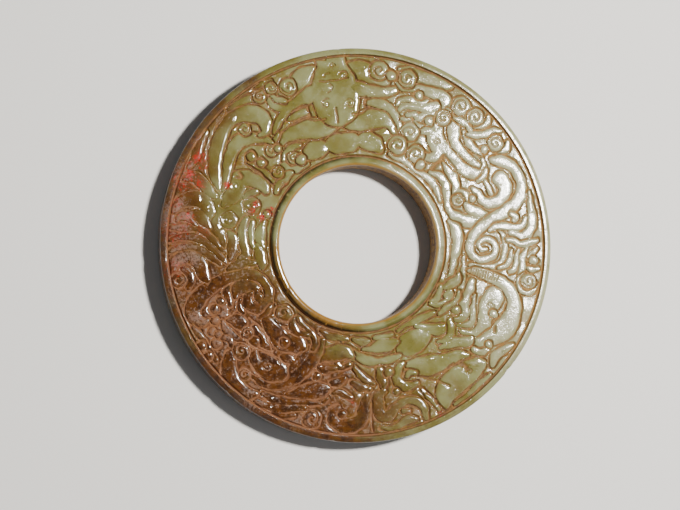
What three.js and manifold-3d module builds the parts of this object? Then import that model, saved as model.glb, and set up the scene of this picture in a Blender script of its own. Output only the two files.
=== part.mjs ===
// A carved jade bi disc: one flat ring of stone with a plain rim round each edge, a crowded relief of
// coiling dragons and cloud scrolls in the sunk field of its face, and a plainer back of cloud curls.
// Millimetres, +Z up out of the carved face, the origin at the middle of the underside.
import * as THREE from "three";
import { mergeVertices } from "three/addons/utils/BufferGeometryUtils.js";
import Module from "manifold-3d";

// The disc
const DISC_DIAMETER = 90;
const HOLE_DIAMETER = 36;
const THICKNESS = 8;
const RIM_CHAMFER_WIDTH = 0.7;
const RIM_CHAMFER_DROP = 0.35;
const HOLE_CHAMFER = 0.55;

// The carved face: the rims stand round a sunk field, and the relief ends just under the rims
const OUTER_RIM_WIDTH = 1.4;
const INNER_RIM_WIDTH = 1.9;
const FIELD_DEPTH = 1.0;
const RELIEF_BELOW_RIM = 0.1;
const SLIM_RELIEF_SHARE = 0.7; // how high the slimmest ribbon stands, as a share of the broadest
const FULL_RELIEF_HALF_WIDTH = 2; // a form of this half width or more stands at its full height

// The back
const BACK_OUTER_RIM_WIDTH = 2.4;
const BACK_INNER_RIM_WIDTH = 2.8;
const BACK_FIELD_DEPTH = 0.6;
const BACK_RELIEF_BELOW_RIM = 0.12;
const BACK_CLOUDS = 10;
const BACK_CLOUD_WIDTH = 2.6;
const CLOUD_MIDDLE = 0.51;
// Half a cloud: how far each point lies from its middle, as a share of the step from cloud to cloud and of
// the band, and how much of the full width the ribbon has there.
const HALF_CLOUD = [
  [0, 0, 1],
  [0.36, 0.06, 1],
  [0.3, 0.26, 1],
  [-0.02, 0.17, 0.6],
];

// How finely curved shapes are faceted
const DISC_SEGMENTS = 60;
const RIBBON_SIDES = 6;
const FACE_STEPS_PER_POINT = 1;
const BACK_STEPS_PER_POINT = 2;
const FEWEST_STEPS = 3;
const BOSS_SIDES = 7;

// How a ribbon ends and how a form is rooted in the floor that it grows from
const TIP_BREADTH = 0.5; // a tip's breadth, as a share of the ribbon's
const TIP_REACH = 0.7; // how far a tip runs on, as a share of the half width
const ROOT_DEPTH = 0.1;
const BOSS_TOP = 0.6; // a boss's flat top, as a share of its radius
const SAME_POINT = 1e-4; // vertices closer than this are one

// The carving is set out on the band from the hole's edge (0) to the disc's edge (1). Each point of a
// ribbon is [degrees counter-clockwise from +X, share of the band, width], and each curled boss is
// [degrees, share, radius]. Widths and radii are drawn in millimetres for a field of the drawn width, and
// grow with the field.
const DRAWN_FIELD_START = 0.07;
const DRAWN_FIELD_END = 0.95;
const DRAWN_FIELD_WIDTH = 23.7;

// The frontal beast at the top.
const FRONTAL_BEAST = [
  [[119.6, 0.18, 1.6], [117, 0.205, 3.8], [113.5, 0.205, 4.2], [110.8, 0.2, 3]],
  [[106, 0.2, 2.6], [102.5, 0.2, 4.4], [98.7, 0.19, 4.6], [95, 0.2, 4.6], [91.8, 0.205, 3]],
  [[88, 0.205, 2.6], [85, 0.215, 4.2], [81.5, 0.205, 4], [78, 0.175, 2.6]],
  [[104.8, 0.845, 2.6], [108.5, 0.82, 4.4], [112, 0.765, 4], [115, 0.72, 2.2], [117.5, 0.75, 1.6]],
  [[92.8, 0.83, 2.6], [90, 0.82, 4.2], [86.5, 0.79, 4.4], [82.5, 0.735, 2.6], [79.8, 0.74, 1.6]],
  [
    [98.7, 0.44, 2.2], [101.5, 0.37, 2.8], [105, 0.355, 3.6], [109.5, 0.37, 4.8], [115, 0.4, 4.6],
    [120, 0.415, 3.6], [124, 0.42, 2.3], [127.3, 0.395, 1.2],
  ],
  [
    [98.7, 0.44, 2.2], [96.2, 0.38, 2.6], [92.5, 0.365, 3.6], [88, 0.38, 4.6], [83, 0.405, 4.6],
    [78.5, 0.42, 3.4], [75, 0.39, 2.2], [72, 0.34, 1.4], [70.6, 0.3, 0.8],
  ],
  [
    [86, 0.545, 1.8], [82, 0.545, 2.3], [78, 0.535, 2.1], [74.5, 0.49, 1.9], [71.6, 0.43, 1.6],
    [70, 0.375, 1],
  ],
  [
    [98.7, 0.87, 6.6], [98.7, 0.82, 7], [98.7, 0.74, 9.2], [98.7, 0.64, 11], [98.7, 0.54, 10.4],
    [98.7, 0.485, 7.4],
  ],
  [
    [103, 0.67, 3.8], [107, 0.66, 3.8], [111, 0.645, 3.2], [115.5, 0.63, 2.2], [119, 0.65, 2.2],
    [121.6, 0.7, 2.1], [122.2, 0.765, 1.2],
  ],
  [
    [94, 0.67, 3.6], [90, 0.655, 3.4], [86.5, 0.64, 3], [81, 0.645, 2.4], [77.4, 0.675, 1.9],
    [75.6, 0.705, 1],
  ],
];

// The dragon to the right of the beast.
const RIGHT_DRAGON = [
  [
    [76.6, 0.87, 1], [73.5, 0.9, 1.4], [69.5, 0.865, 3], [65, 0.872, 3.2], [61.5, 0.888, 2.4],
    [59.4, 0.905, 1.2],
  ],
  [
    [57.4, 0.735, 2.2], [59.2, 0.79, 3], [62.5, 0.785, 2.8], [66.5, 0.77, 2.2], [70, 0.75, 1.9],
    [74, 0.725, 1.5], [76.2, 0.745, 0.9],
  ],
  [
    [72.8, 0.535, 0.9], [71.8, 0.575, 1.4], [68.8, 0.6, 1.6], [65.5, 0.615, 1.8], [62.5, 0.65, 2.2],
    [60.6, 0.7, 2.2],
  ],
  [
    [70.8, 0.145, 0.9], [66, 0.145, 1.5], [62, 0.165, 2], [57, 0.145, 1.6], [51, 0.135, 1.2],
    [46, 0.155, 1.6], [40, 0.165, 1.9], [33, 0.15, 1.3], [28, 0.13, 0.8],
  ],
  [
    [45.2, 0.205, 0.8], [41, 0.245, 1.8], [35.5, 0.247, 2], [30, 0.215, 1.9], [25, 0.178, 1.5],
    [20, 0.175, 1.8], [16, 0.21, 2.5], [13.2, 0.27, 3], [11.2, 0.345, 2.6], [11.4, 0.4, 1.2],
  ],
  [[44.2, 0.36, 1.2], [40, 0.345, 2.1], [35, 0.335, 2.3], [31, 0.315, 1.9], [28.6, 0.275, 1.1]],
  [[20.8, 0.325, 1.2], [18, 0.345, 2.4], [15.4, 0.395, 2.8], [13.6, 0.455, 1.6]],
  [
    [61, 0.43, 0.9], [58.6, 0.475, 2], [56.2, 0.53, 3.2], [54.6, 0.475, 4], [51, 0.43, 4.2],
    [45, 0.44, 3.6], [38, 0.45, 3.8], [32.6, 0.485, 3], [30.6, 0.55, 2.2], [32.2, 0.61, 1.4],
    [35, 0.64, 0.9],
  ],
  [
    [48, 0.42, 2.4], [48.2, 0.35, 2.6], [50, 0.305, 2.2], [53.2, 0.275, 1.7], [54.8, 0.225, 1.3],
    [54.6, 0.19, 0.9],
  ],
  [
    [54.6, 0.695, 1.6], [51.6, 0.655, 2.8], [49.4, 0.6, 3], [46.4, 0.545, 2.4], [41, 0.535, 2],
    [36.5, 0.55, 1.8], [33.4, 0.58, 1],
  ],
];

// The arched tail with its great spiral.
const TAIL_SCROLLS = [
  [
    [24.8, 0.69, 3.8], [21, 0.7, 3.2], [18.2, 0.63, 2.6], [17.3, 0.545, 2.4], [19.6, 0.475, 2.2],
    [23.5, 0.455, 1.9], [26.3, 0.43, 1],
  ],
  [
    [32.3, 0.705, 1.6], [30.2, 0.775, 2.8], [26.3, 0.838, 2.5], [21.6, 0.845, 2.4], [17.8, 0.815, 2.7],
    [15.4, 0.755, 2.9], [13.9, 0.68, 3], [12.5, 0.6, 2.9], [11.1, 0.52, 2.8], [9.2, 0.43, 2.6],
    [6.4, 0.355, 2.3], [2, 0.3, 2.1], [-3.6, 0.3, 1.9], [-6.2, 0.365, 1.8], [-5.9, 0.45, 1.7],
    [-3, 0.515, 1.6], [1.2, 0.505, 1.5], [3, 0.435, 1.4], [1.2, 0.375, 1.2], [-1.8, 0.39, 1.2],
    [-1.6, 0.435, 1],
  ],
  [
    [17.4, 0.885, 0.8], [12.4, 0.862, 1.8], [8.2, 0.855, 2.2], [5, 0.82, 2.3], [3.2, 0.76, 2.3],
    [3.9, 0.7, 2], [4.9, 0.645, 1],
  ],
  [
    [9.5, 0.8, 1], [7, 0.765, 1.5], [6.6, 0.69, 1.7], [7.6, 0.61, 1.8], [7.9, 0.54, 1.5],
    [6.6, 0.475, 0.9],
  ],
  [
    [14.5, 0.145, 1], [9.5, 0.18, 2.6], [3.5, 0.19, 2.6], [-3, 0.175, 2.2], [-9, 0.165, 1.8],
    [-15, 0.165, 1.5], [-21, 0.155, 1],
  ],
];

// The dragon at the lower right.
const LOWER_RIGHT_DRAGON = [
  [
    [337, 0.42, 0.6], [334, 0.432, 0.9], [331, 0.458, 1.3], [328, 0.495, 1.5], [325.4, 0.5, 1.5],
    [323, 0.465, 1.2], [321.4, 0.42, 0.8],
  ],
  [
    [342.6, 0.355, 1.5], [339, 0.362, 2.2], [335.5, 0.355, 2], [331.5, 0.368, 2.5], [327.6, 0.405, 2.8],
    [324.6, 0.405, 2], [322.7, 0.365, 1.1],
  ],
  [
    [342.6, 0.565, 1.6], [339.6, 0.578, 4.6], [335.6, 0.568, 4.5], [331, 0.585, 3.5], [327.5, 0.605, 3],
    [324, 0.59, 2.5], [321.6, 0.54, 1.8], [320.4, 0.475, 0.9],
  ],
  [
    [347.3, 0.31, 1], [347.7, 0.37, 1.9], [347.2, 0.46, 2.5], [346.5, 0.55, 2.7], [345.5, 0.63, 2.8],
    [343.4, 0.705, 3], [340, 0.765, 3.3], [336, 0.785, 4], [331.6, 0.78, 5], [327.6, 0.745, 4.4],
    [324.4, 0.7, 3], [321.2, 0.64, 2], [319.2, 0.58, 1],
  ],
  [[327.6, 0.905, 1], [324.6, 0.865, 2], [321.4, 0.84, 2.3], [318.6, 0.87, 1.4]],
  [[321, 0.585, 0.9], [318.6, 0.575, 2.4], [316.2, 0.515, 2.4], [312.6, 0.475, 1.8], [309, 0.455, 0.9]],
  [[344.4, 0.225, 0.9], [341, 0.232, 1.9], [337.6, 0.195, 2.3], [334.8, 0.16, 1.6]],
  [[333.6, 0.215, 1.2], [331.4, 0.215, 2.2], [329.4, 0.22, 1.3]],
];

// The dragon at the bottom.
const LOWER_DRAGON = [
  [
    [317.2, 0.8, 1.6], [314.6, 0.775, 4], [310.5, 0.76, 5.4], [305.5, 0.755, 6], [301, 0.79, 4.8],
    [298.8, 0.87, 2.4],
  ],
  [
    [315.4, 0.65, 1], [312.4, 0.6, 2.6], [308, 0.565, 3], [303, 0.535, 4.4], [299, 0.505, 4.6],
    [295.5, 0.47, 3.6], [292.6, 0.43, 1.6],
  ],
  [[309.4, 0.285, 1], [305.6, 0.285, 3.6], [301, 0.28, 5.2], [296.4, 0.28, 5], [293, 0.3, 2.6]],
  [[317, 0.335, 1], [314.2, 0.33, 2.7], [311.4, 0.28, 2.4], [308.4, 0.22, 1.8], [305.8, 0.18, 0.9]],
  [[318.6, 0.2, 1], [313, 0.165, 1.6], [306.6, 0.14, 1.6], [300, 0.125, 1.1], [295, 0.135, 0.9]],
  [
    [290.6, 0.335, 1], [286, 0.34, 1.9], [281, 0.335, 1.5], [276.5, 0.325, 2.2], [271.5, 0.29, 2.2],
    [268, 0.245, 1.1],
  ],
  [[292, 0.215, 1.2], [287, 0.215, 3], [282, 0.21, 3], [277.6, 0.225, 1.6], [273, 0.215, 1]],
  [
    [291.6, 0.905, 1.2], [292.2, 0.82, 1.9], [290.8, 0.745, 2.1], [287, 0.71, 2], [283.4, 0.745, 2],
    [280, 0.8, 2.6], [277.6, 0.78, 2.6], [277.2, 0.7, 2.8], [278, 0.62, 2.2], [280.4, 0.585, 1],
  ],
  [
    [293.2, 0.6, 1.2], [290, 0.608, 2], [287, 0.57, 2.3], [286.2, 0.5, 2.2], [288, 0.435, 1.8],
    [291, 0.405, 1],
  ],
  [[280.2, 0.54, 1.8], [280.4, 0.47, 2.6], [280, 0.41, 1.8]],
  [[288.6, 0.885, 1], [286, 0.865, 2.2], [283.6, 0.89, 1.6], [280.5, 0.905, 1.2], [277.4, 0.895, 0.9]],
  [
    [273.2, 0.61, 1.6], [272.6, 0.71, 2.8], [270.8, 0.81, 3.2], [266.6, 0.865, 3.2], [262.6, 0.835, 3],
    [261.6, 0.765, 2.3], [263, 0.715, 1.4],
  ],
  [[266.4, 0.27, 1.4], [262.6, 0.245, 3.2], [258, 0.27, 3.6], [254.2, 0.3, 2.8], [252, 0.355, 1.4]],
];

// The dragon in the russet zone and the spiral over it.
const RUSSET_DRAGON = [
  [[256.2, 0.71, 0.8], [251, 0.735, 1.5], [246, 0.78, 1.9], [241.4, 0.815, 1.7], [237.4, 0.825, 1.1]],
  [[252.2, 0.785, 0.9], [248, 0.82, 1.5], [244, 0.87, 1.8], [239.8, 0.895, 1.6], [236.8, 0.905, 1]],
  [[258, 0.57, 1.4], [255, 0.6, 3.6], [251, 0.645, 3.4], [247.6, 0.69, 1.9], [244.6, 0.73, 0.9]],
  [
    [249.6, 0.2, 1.2], [249.2, 0.28, 2.2], [248.4, 0.38, 2.8], [246.4, 0.5, 3.2], [243.6, 0.6, 3],
    [240.4, 0.685, 2.3], [236.2, 0.745, 1.6], [230.6, 0.762, 0.9],
  ],
  [[241, 0.465, 1.2], [238.6, 0.46, 2.3], [236, 0.475, 1.1]],
  [[237.9, 0.6, 4.6], [235, 0.612, 5.6], [231.4, 0.61, 5.2], [228.2, 0.61, 3.4]],
  [
    [242, 0.315, 1.8], [239, 0.32, 3.8], [235.4, 0.345, 4.2], [231.6, 0.365, 4.4], [227.6, 0.35, 3.8],
    [223.5, 0.345, 3.2], [219.8, 0.335, 1.8],
  ],
  [[230.6, 0.478, 0.8], [227.2, 0.49, 1.6], [224.4, 0.475, 2.4], [221, 0.465, 1.7], [218.6, 0.455, 1]],
  [[216.2, 0.52, 1.2], [213.8, 0.53, 3.2], [211.6, 0.555, 2.2], [210.6, 0.6, 1]],
  [
    [235.4, 0.86, 1.6], [233.4, 0.895, 2.6], [230, 0.9, 3.2], [226.6, 0.885, 3.6], [223.8, 0.835, 3.4],
    [221.8, 0.775, 2.6], [220.4, 0.745, 1.4],
  ],
  [
    [205, 0.33, 1], [206.2, 0.37, 1.9], [209.6, 0.385, 2.3], [213.2, 0.335, 2.3], [213, 0.25, 2.3],
    [209.4, 0.195, 2.2], [203.6, 0.185, 2], [198.4, 0.225, 2.2], [195.4, 0.315, 2.4],
    [194.7, 0.42, 2.4], [195.4, 0.52, 2.7], [196.6, 0.62, 3.1], [198.6, 0.73, 3.6], [201.4, 0.82, 3.6],
    [204.8, 0.845, 3], [207, 0.8, 2], [207.2, 0.745, 1.2],
  ],
  [
    [203.6, 0.46, 1], [201.2, 0.435, 2.6], [200.4, 0.375, 3.1], [201.3, 0.315, 2.4],
    [203.8, 0.268, 1.4],
  ],
];

// The dragon at the left.
const LEFT_DRAGON = [
  [
    [182.8, 0.925, 0.9], [181.7, 0.83, 1.6], [181.9, 0.73, 1.8], [183.1, 0.645, 1.7],
    [185.6, 0.575, 1.5], [188.8, 0.51, 0.9],
  ],
  [
    [179.6, 0.92, 0.9], [178.4, 0.84, 1.5], [178.1, 0.74, 1.7], [179.2, 0.65, 1.6], [181.8, 0.575, 1.5],
    [185.2, 0.51, 1.3], [188.4, 0.455, 0.8],
  ],
  [
    [175.6, 0.91, 1], [175.4, 0.83, 1.7], [174.9, 0.75, 1.6], [175.4, 0.665, 1.4], [177.6, 0.59, 1.4],
    [180.6, 0.525, 1.2], [183.6, 0.475, 0.8],
  ],
  [
    [192.4, 0.925, 1.4], [189, 0.925, 2.2], [186, 0.88, 2.6], [185, 0.8, 2.8], [185.6, 0.725, 3],
    [188.2, 0.675, 3.2], [191.6, 0.665, 2.6], [194, 0.64, 1.2],
  ],
  [[187.8, 0.43, 0.9], [185.2, 0.41, 2], [181.4, 0.395, 2.5], [177.6, 0.395, 2.3], [175.2, 0.43, 1]],
  [
    [187.4, 0.345, 1], [185.4, 0.29, 2], [181.4, 0.295, 2.1], [176.6, 0.315, 2], [171.8, 0.32, 1.8],
    [167.6, 0.3, 1],
  ],
  [[194.4, 0.165, 1.2], [190, 0.165, 2.6], [185.4, 0.17, 2.4], [181.8, 0.19, 1.4]],
  [[182.4, 0.135, 1], [177.4, 0.165, 2.4], [171.8, 0.165, 2.2], [167.4, 0.15, 1]],
  [
    [170.6, 0.91, 1.2], [167.4, 0.87, 2.6], [165.4, 0.79, 3.2], [165.2, 0.7, 3.4], [167.4, 0.63, 2.8],
    [170, 0.6, 1.2],
  ],
  [[174.2, 0.6, 1], [172, 0.645, 2.4], [170.2, 0.71, 2.2], [170.4, 0.78, 1]],
  [[160.2, 0.89, 1], [158.6, 0.82, 2.4], [159.6, 0.73, 2.6], [161.6, 0.65, 2.2], [162.4, 0.6, 1]],
  [[156.6, 0.9, 0.9], [152.4, 0.885, 2], [147.8, 0.905, 1.4], [144, 0.915, 0.8]],
  [
    [164.4, 0.515, 1.2], [161, 0.485, 3.2], [157, 0.465, 4.2], [153, 0.48, 4.2], [150, 0.425, 3.6],
    [149, 0.345, 3.2], [149, 0.275, 2.7], [150.6, 0.225, 1.4],
  ],
  [
    [159.2, 0.56, 0.9], [155, 0.575, 1.7], [150.4, 0.61, 2.6], [145.4, 0.645, 3.1], [140.4, 0.658, 3.2],
    [137, 0.62, 3], [134.2, 0.565, 2.5], [131.8, 0.505, 1.7], [130.8, 0.455, 0.9],
  ],
  [
    [159, 0.595, 0.9], [155.4, 0.66, 2.6], [150.4, 0.73, 3.3], [145, 0.78, 3.4], [140, 0.818, 3],
    [136, 0.83, 2.9], [132.2, 0.8, 3.8], [129.2, 0.735, 3.9], [127.8, 0.665, 3.6], [128.2, 0.605, 2.8],
    [130.4, 0.56, 1.8], [132.6, 0.57, 0.9],
  ],
];

// The curled bosses, each as degrees, share of the band and radius.
const CURLS = [
  [114.3, 0.785, 2], [83, 0.825, 2.2], [78.9, 0.8, 1.2], [73.3, 0.81, 2.1], [60, 0.552, 1.1],
  [56, 0.645, 1.8], [65.2, 0.39, 2.1], [68.2, 0.245, 2.2], [57.4, 0.25, 2.1], [51.8, 0.2, 1.1],
  [53.2, 0.82, 2.25], [47.3, 0.83, 2], [36.4, 0.81, 1.9], [24.2, 0.272, 1.4], [355.4, 0.855, 1.1],
  [348.5, 0.835, 1.75], [283.6, 0.44, 1.1], [255.2, 0.85, 2.1], [233, 0.365, 1.1], [223, 0.188, 1.9],
  [222.6, 0.665, 1.9], [229, 0.785, 1.3], [213.2, 0.905, 1.1], [223.4, 0.535, 1.2], [218.8, 0.53, 1.4],
  [191.8, 0.875, 1.7], [161, 0.285, 1.9], [170.3, 0.445, 1.9], [138.6, 0.24, 1.35], [140.6, 0.4, 1.1],
  [141, 0.5, 1.2], [133.6, 0.405, 1.3], [135.2, 0.69, 1.4], [127.4, 0.24, 1.4], [124.3, 0.19, 1.2],
  [124.2, 0.83, 1.6], [119.6, 0.84, 1.4], [215.2, 0.79, 1.2], [204.6, 0.66, 1.1],
];

const discRadius = DISC_DIAMETER / 2;
const holeRadius = HOLE_DIAMETER / 2;
const fieldInner = holeRadius + INNER_RIM_WIDTH;
const fieldOuter = discRadius - OUTER_RIM_WIDTH;
const drawnScale = (fieldOuter - fieldInner) / DRAWN_FIELD_WIDTH;

const face = {
  inner: fieldInner,
  outer: fieldOuter,
  floor: THICKNESS - FIELD_DEPTH,
  relief: FIELD_DEPTH - RELIEF_BELOW_RIM,
  up: 1,
  stepsPerPoint: FACE_STEPS_PER_POINT,
};
const back = {
  inner: holeRadius + BACK_INNER_RIM_WIDTH,
  outer: discRadius - BACK_OUTER_RIM_WIDTH,
  floor: BACK_FIELD_DEPTH,
  relief: BACK_FIELD_DEPTH - BACK_RELIEF_BELOW_RIM,
  up: -1,
  stepsPerPoint: BACK_STEPS_PER_POINT,
};

const wasm = await Module();
wasm.setup();

// A closed geometry as a solid that can be joined.
function solid(geometry) {
  geometry.deleteAttribute("normal");
  geometry.deleteAttribute("uv");
  const merged = mergeVertices(geometry, SAME_POINT);
  return new wasm.Manifold(
    new wasm.Mesh({
      numProp: 3,
      vertProperties: new Float32Array(merged.attributes.position.array),
      triVerts: new Uint32Array(merged.index.array),
    }),
  );
}

function joined(solids) {
  return solids.reduce((whole, piece) => whole.add(piece));
}

// The place on a carved field of a point drawn as degrees and a share of the band.
function fieldPoint(field, degrees, share) {
  const along = (share - DRAWN_FIELD_START) / (DRAWN_FIELD_END - DRAWN_FIELD_START);
  const radius = THREE.MathUtils.lerp(field.inner, field.outer, along);
  const angle = THREE.MathUtils.degToRad(degrees);
  return new THREE.Vector3(radius * Math.cos(angle), radius * Math.sin(angle), 0);
}

// The plain ring with its chamfered edges, rims and sunk fields, turned from one closed profile.
function ring() {
  const hole = HOLE_CHAMFER;
  const wide = RIM_CHAMFER_WIDTH;
  const drop = RIM_CHAMFER_DROP;
  const profile = [
    [holeRadius, hole],
    [holeRadius + hole, 0],
    [back.inner, 0],
    [back.inner, BACK_FIELD_DEPTH],
    [back.outer, BACK_FIELD_DEPTH],
    [back.outer, 0],
    [discRadius - wide, 0],
    [discRadius, drop],
    [discRadius, THICKNESS - drop],
    [discRadius - wide, THICKNESS],
    [fieldOuter, THICKNESS],
    [fieldOuter, face.floor],
    [fieldInner, face.floor],
    [fieldInner, THICKNESS],
    [holeRadius + hole, THICKNESS],
    [holeRadius, THICKNESS - hole],
    [holeRadius, hole],
  ];
  const turned = new THREE.LatheGeometry(
    profile.map(([radius, height]) => new THREE.Vector2(radius, height)),
    DISC_SEGMENTS,
  );
  turned.rotateX(Math.PI / 2);
  return solid(turned);
}

// How high a form stands over the floor of its field: a slim one stands lower than a broad one.
function reliefOf(field, halfWidth) {
  const breadth = Math.min(1, halfWidth / (FULL_RELIEF_HALF_WIDTH * drawnScale));
  return field.relief * THREE.MathUtils.lerp(SLIM_RELIEF_SHARE, 1, breadth);
}

// A ribbon of the relief: a drum of six sides bent along a smooth curve, flat on top, with sloping
// flanks and ends that taper, and sunk a little into the floor that it grows from.
function ribbon(field, points) {
  const route = new THREE.CatmullRomCurve3(
    points.map(([degrees, share]) => fieldPoint(field, degrees, share)),
    false,
    "centripetal",
  );
  const spans = points.length - 1;
  const steps = Math.max(FEWEST_STEPS, Math.ceil(spans * field.stepsPerPoint));
  const drum = new THREE.CylinderGeometry(1, 1, 1, RIBBON_SIDES, steps, false, Math.PI / RIBBON_SIDES);
  const place = drum.getAttribute("position");
  for (let i = 0; i < place.count; i += 1) {
    const station = Math.round((0.5 - place.getY(i)) * steps);
    const t = station / steps;
    const span = Math.min(spans - 1, Math.floor(t * spans));
    const width = THREE.MathUtils.lerp(points[span][2], points[span + 1][2], t * spans - span);
    const halfWidth = (width / 2) * drawnScale;
    const atEnd = station === 0 ? -1 : station === steps ? 1 : 0;
    const breadth = atEnd ? halfWidth * TIP_BREADTH : halfWidth;
    const centre = route.getPoint(t);
    const tangent = route.getTangent(t);
    centre.addScaledVector(tangent, atEnd * halfWidth * TIP_REACH);
    const side = new THREE.Vector3(-tangent.y, tangent.x, 0);
    const rise = reliefOf(field, halfWidth);
    const lift = place.getZ(i) > 0 ? place.getZ(i) / Math.cos(Math.PI / RIBBON_SIDES) : 0;
    const sink = place.getZ(i) > 0 ? 0 : 1 + Math.abs(place.getZ(i));
    const height = lift * rise - sink * ROOT_DEPTH;
    centre.addScaledVector(side, place.getX(i) * breadth * field.up);
    place.setXYZ(i, centre.x, centre.y, field.floor + field.up * height);
  }
  return solid(drum);
}

// A curled boss: a low round button with a sloping edge.
function boss(field, [degrees, share, radius]) {
  const wide = radius * drawnScale;
  const rise = reliefOf(field, wide);
  const button = new THREE.CylinderGeometry(wide * BOSS_TOP, wide, rise + ROOT_DEPTH, BOSS_SIDES);
  button.rotateX((field.up * Math.PI) / 2);
  const centre = fieldPoint(field, degrees, share);
  button.translate(centre.x, centre.y, field.floor + (field.up * (rise - ROOT_DEPTH)) / 2);
  return solid(button);
}

// One cloud of the back: an S that winds back on itself at either end.
function backCloud(index) {
  const step = 360 / BACK_CLOUDS;
  const half = (side) =>
    HALF_CLOUD.map(([along, across, breadth]) => [
      (index + side * along) * step,
      CLOUD_MIDDLE + side * across,
      BACK_CLOUD_WIDTH * breadth,
    ]);
  return ribbon(back, [...half(-1).reverse(), ...half(1).slice(1)]);
}

function disc() {
  const carving = [
    FRONTAL_BEAST,
    RIGHT_DRAGON,
    TAIL_SCROLLS,
    LOWER_RIGHT_DRAGON,
    LOWER_DRAGON,
    RUSSET_DRAGON,
    LEFT_DRAGON,
  ].flatMap((creature) => creature.map((points) => ribbon(face, points)));
  const curls = CURLS.map((curl) => boss(face, curl));
  const clouds = Array.from({ length: BACK_CLOUDS }, (_, index) => backCloud(index));
  return joined([ring(), ...carving, ...curls, ...clouds]);
}

// A named mesh of a solid, in its own material.
function part(name, shape, material) {
  const { vertProperties, triVerts } = shape.getMesh();
  const geometry = new THREE.BufferGeometry();
  geometry.setAttribute("position", new THREE.BufferAttribute(vertProperties, 3));
  geometry.setIndex(new THREE.BufferAttribute(triVerts, 1));
  geometry.computeVertexNormals();
  const mesh = new THREE.Mesh(geometry, material);
  mesh.name = name;
  return mesh;
}

const jade = new THREE.MeshStandardMaterial({ color: 0x96945f, roughness: 0.35, metalness: 0 });

const bi = new THREE.Group();
bi.add(part("disc", disc(), jade));

export default bi;
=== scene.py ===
"""A carved jade bi disc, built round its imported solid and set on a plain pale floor.

The face has a plain rim round each edge and, between the rims, a crowded relief of coiling dragons and
cloud scrolls. Carving is worked out in millimetres and turned into metres when a vertex is moved.
"""

import math

import bmesh
import bpy
import numpy as np
from bpy.props import FloatProperty, FloatVectorProperty, IntProperty, PointerProperty
from mathutils import Matrix, Vector


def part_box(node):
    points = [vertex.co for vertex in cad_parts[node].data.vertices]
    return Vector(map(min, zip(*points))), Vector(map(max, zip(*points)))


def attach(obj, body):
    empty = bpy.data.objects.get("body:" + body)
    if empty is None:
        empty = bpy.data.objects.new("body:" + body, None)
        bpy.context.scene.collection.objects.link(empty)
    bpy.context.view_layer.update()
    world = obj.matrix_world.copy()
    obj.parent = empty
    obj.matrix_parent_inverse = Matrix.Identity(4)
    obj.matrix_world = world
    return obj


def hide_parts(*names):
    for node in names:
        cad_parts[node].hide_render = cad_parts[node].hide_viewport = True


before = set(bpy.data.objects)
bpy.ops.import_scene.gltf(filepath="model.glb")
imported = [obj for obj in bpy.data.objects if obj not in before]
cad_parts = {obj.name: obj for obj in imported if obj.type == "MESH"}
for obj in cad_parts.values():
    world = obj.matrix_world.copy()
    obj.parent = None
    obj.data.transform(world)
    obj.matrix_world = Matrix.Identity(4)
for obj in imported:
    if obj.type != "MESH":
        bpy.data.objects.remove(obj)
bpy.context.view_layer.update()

bl_info = {
    "name": "Carved jade bi disc",
    "version": (1, 0, 0),
    "blender": (4, 5, 0),
    "location": "3D View > Sidebar > Bi disc",
    "description": "Carves the jade disc, gives it its stone and sets it on a plain floor",
    "category": "Object",
}

MM = 0.001
CLOSE = 1e-6
DOUBLINGS = 5
DISC_LOW, DISC_HIGH = (Vector(corner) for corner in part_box("disc"))
DISC_RADIUS = (DISC_HIGH.x - DISC_LOW.x) / 2
THICKNESS = DISC_HIGH.z - DISC_LOW.z
HOLE_RADIUS = min(vertex.co.xy.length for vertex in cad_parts["disc"].data.vertices)

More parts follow.
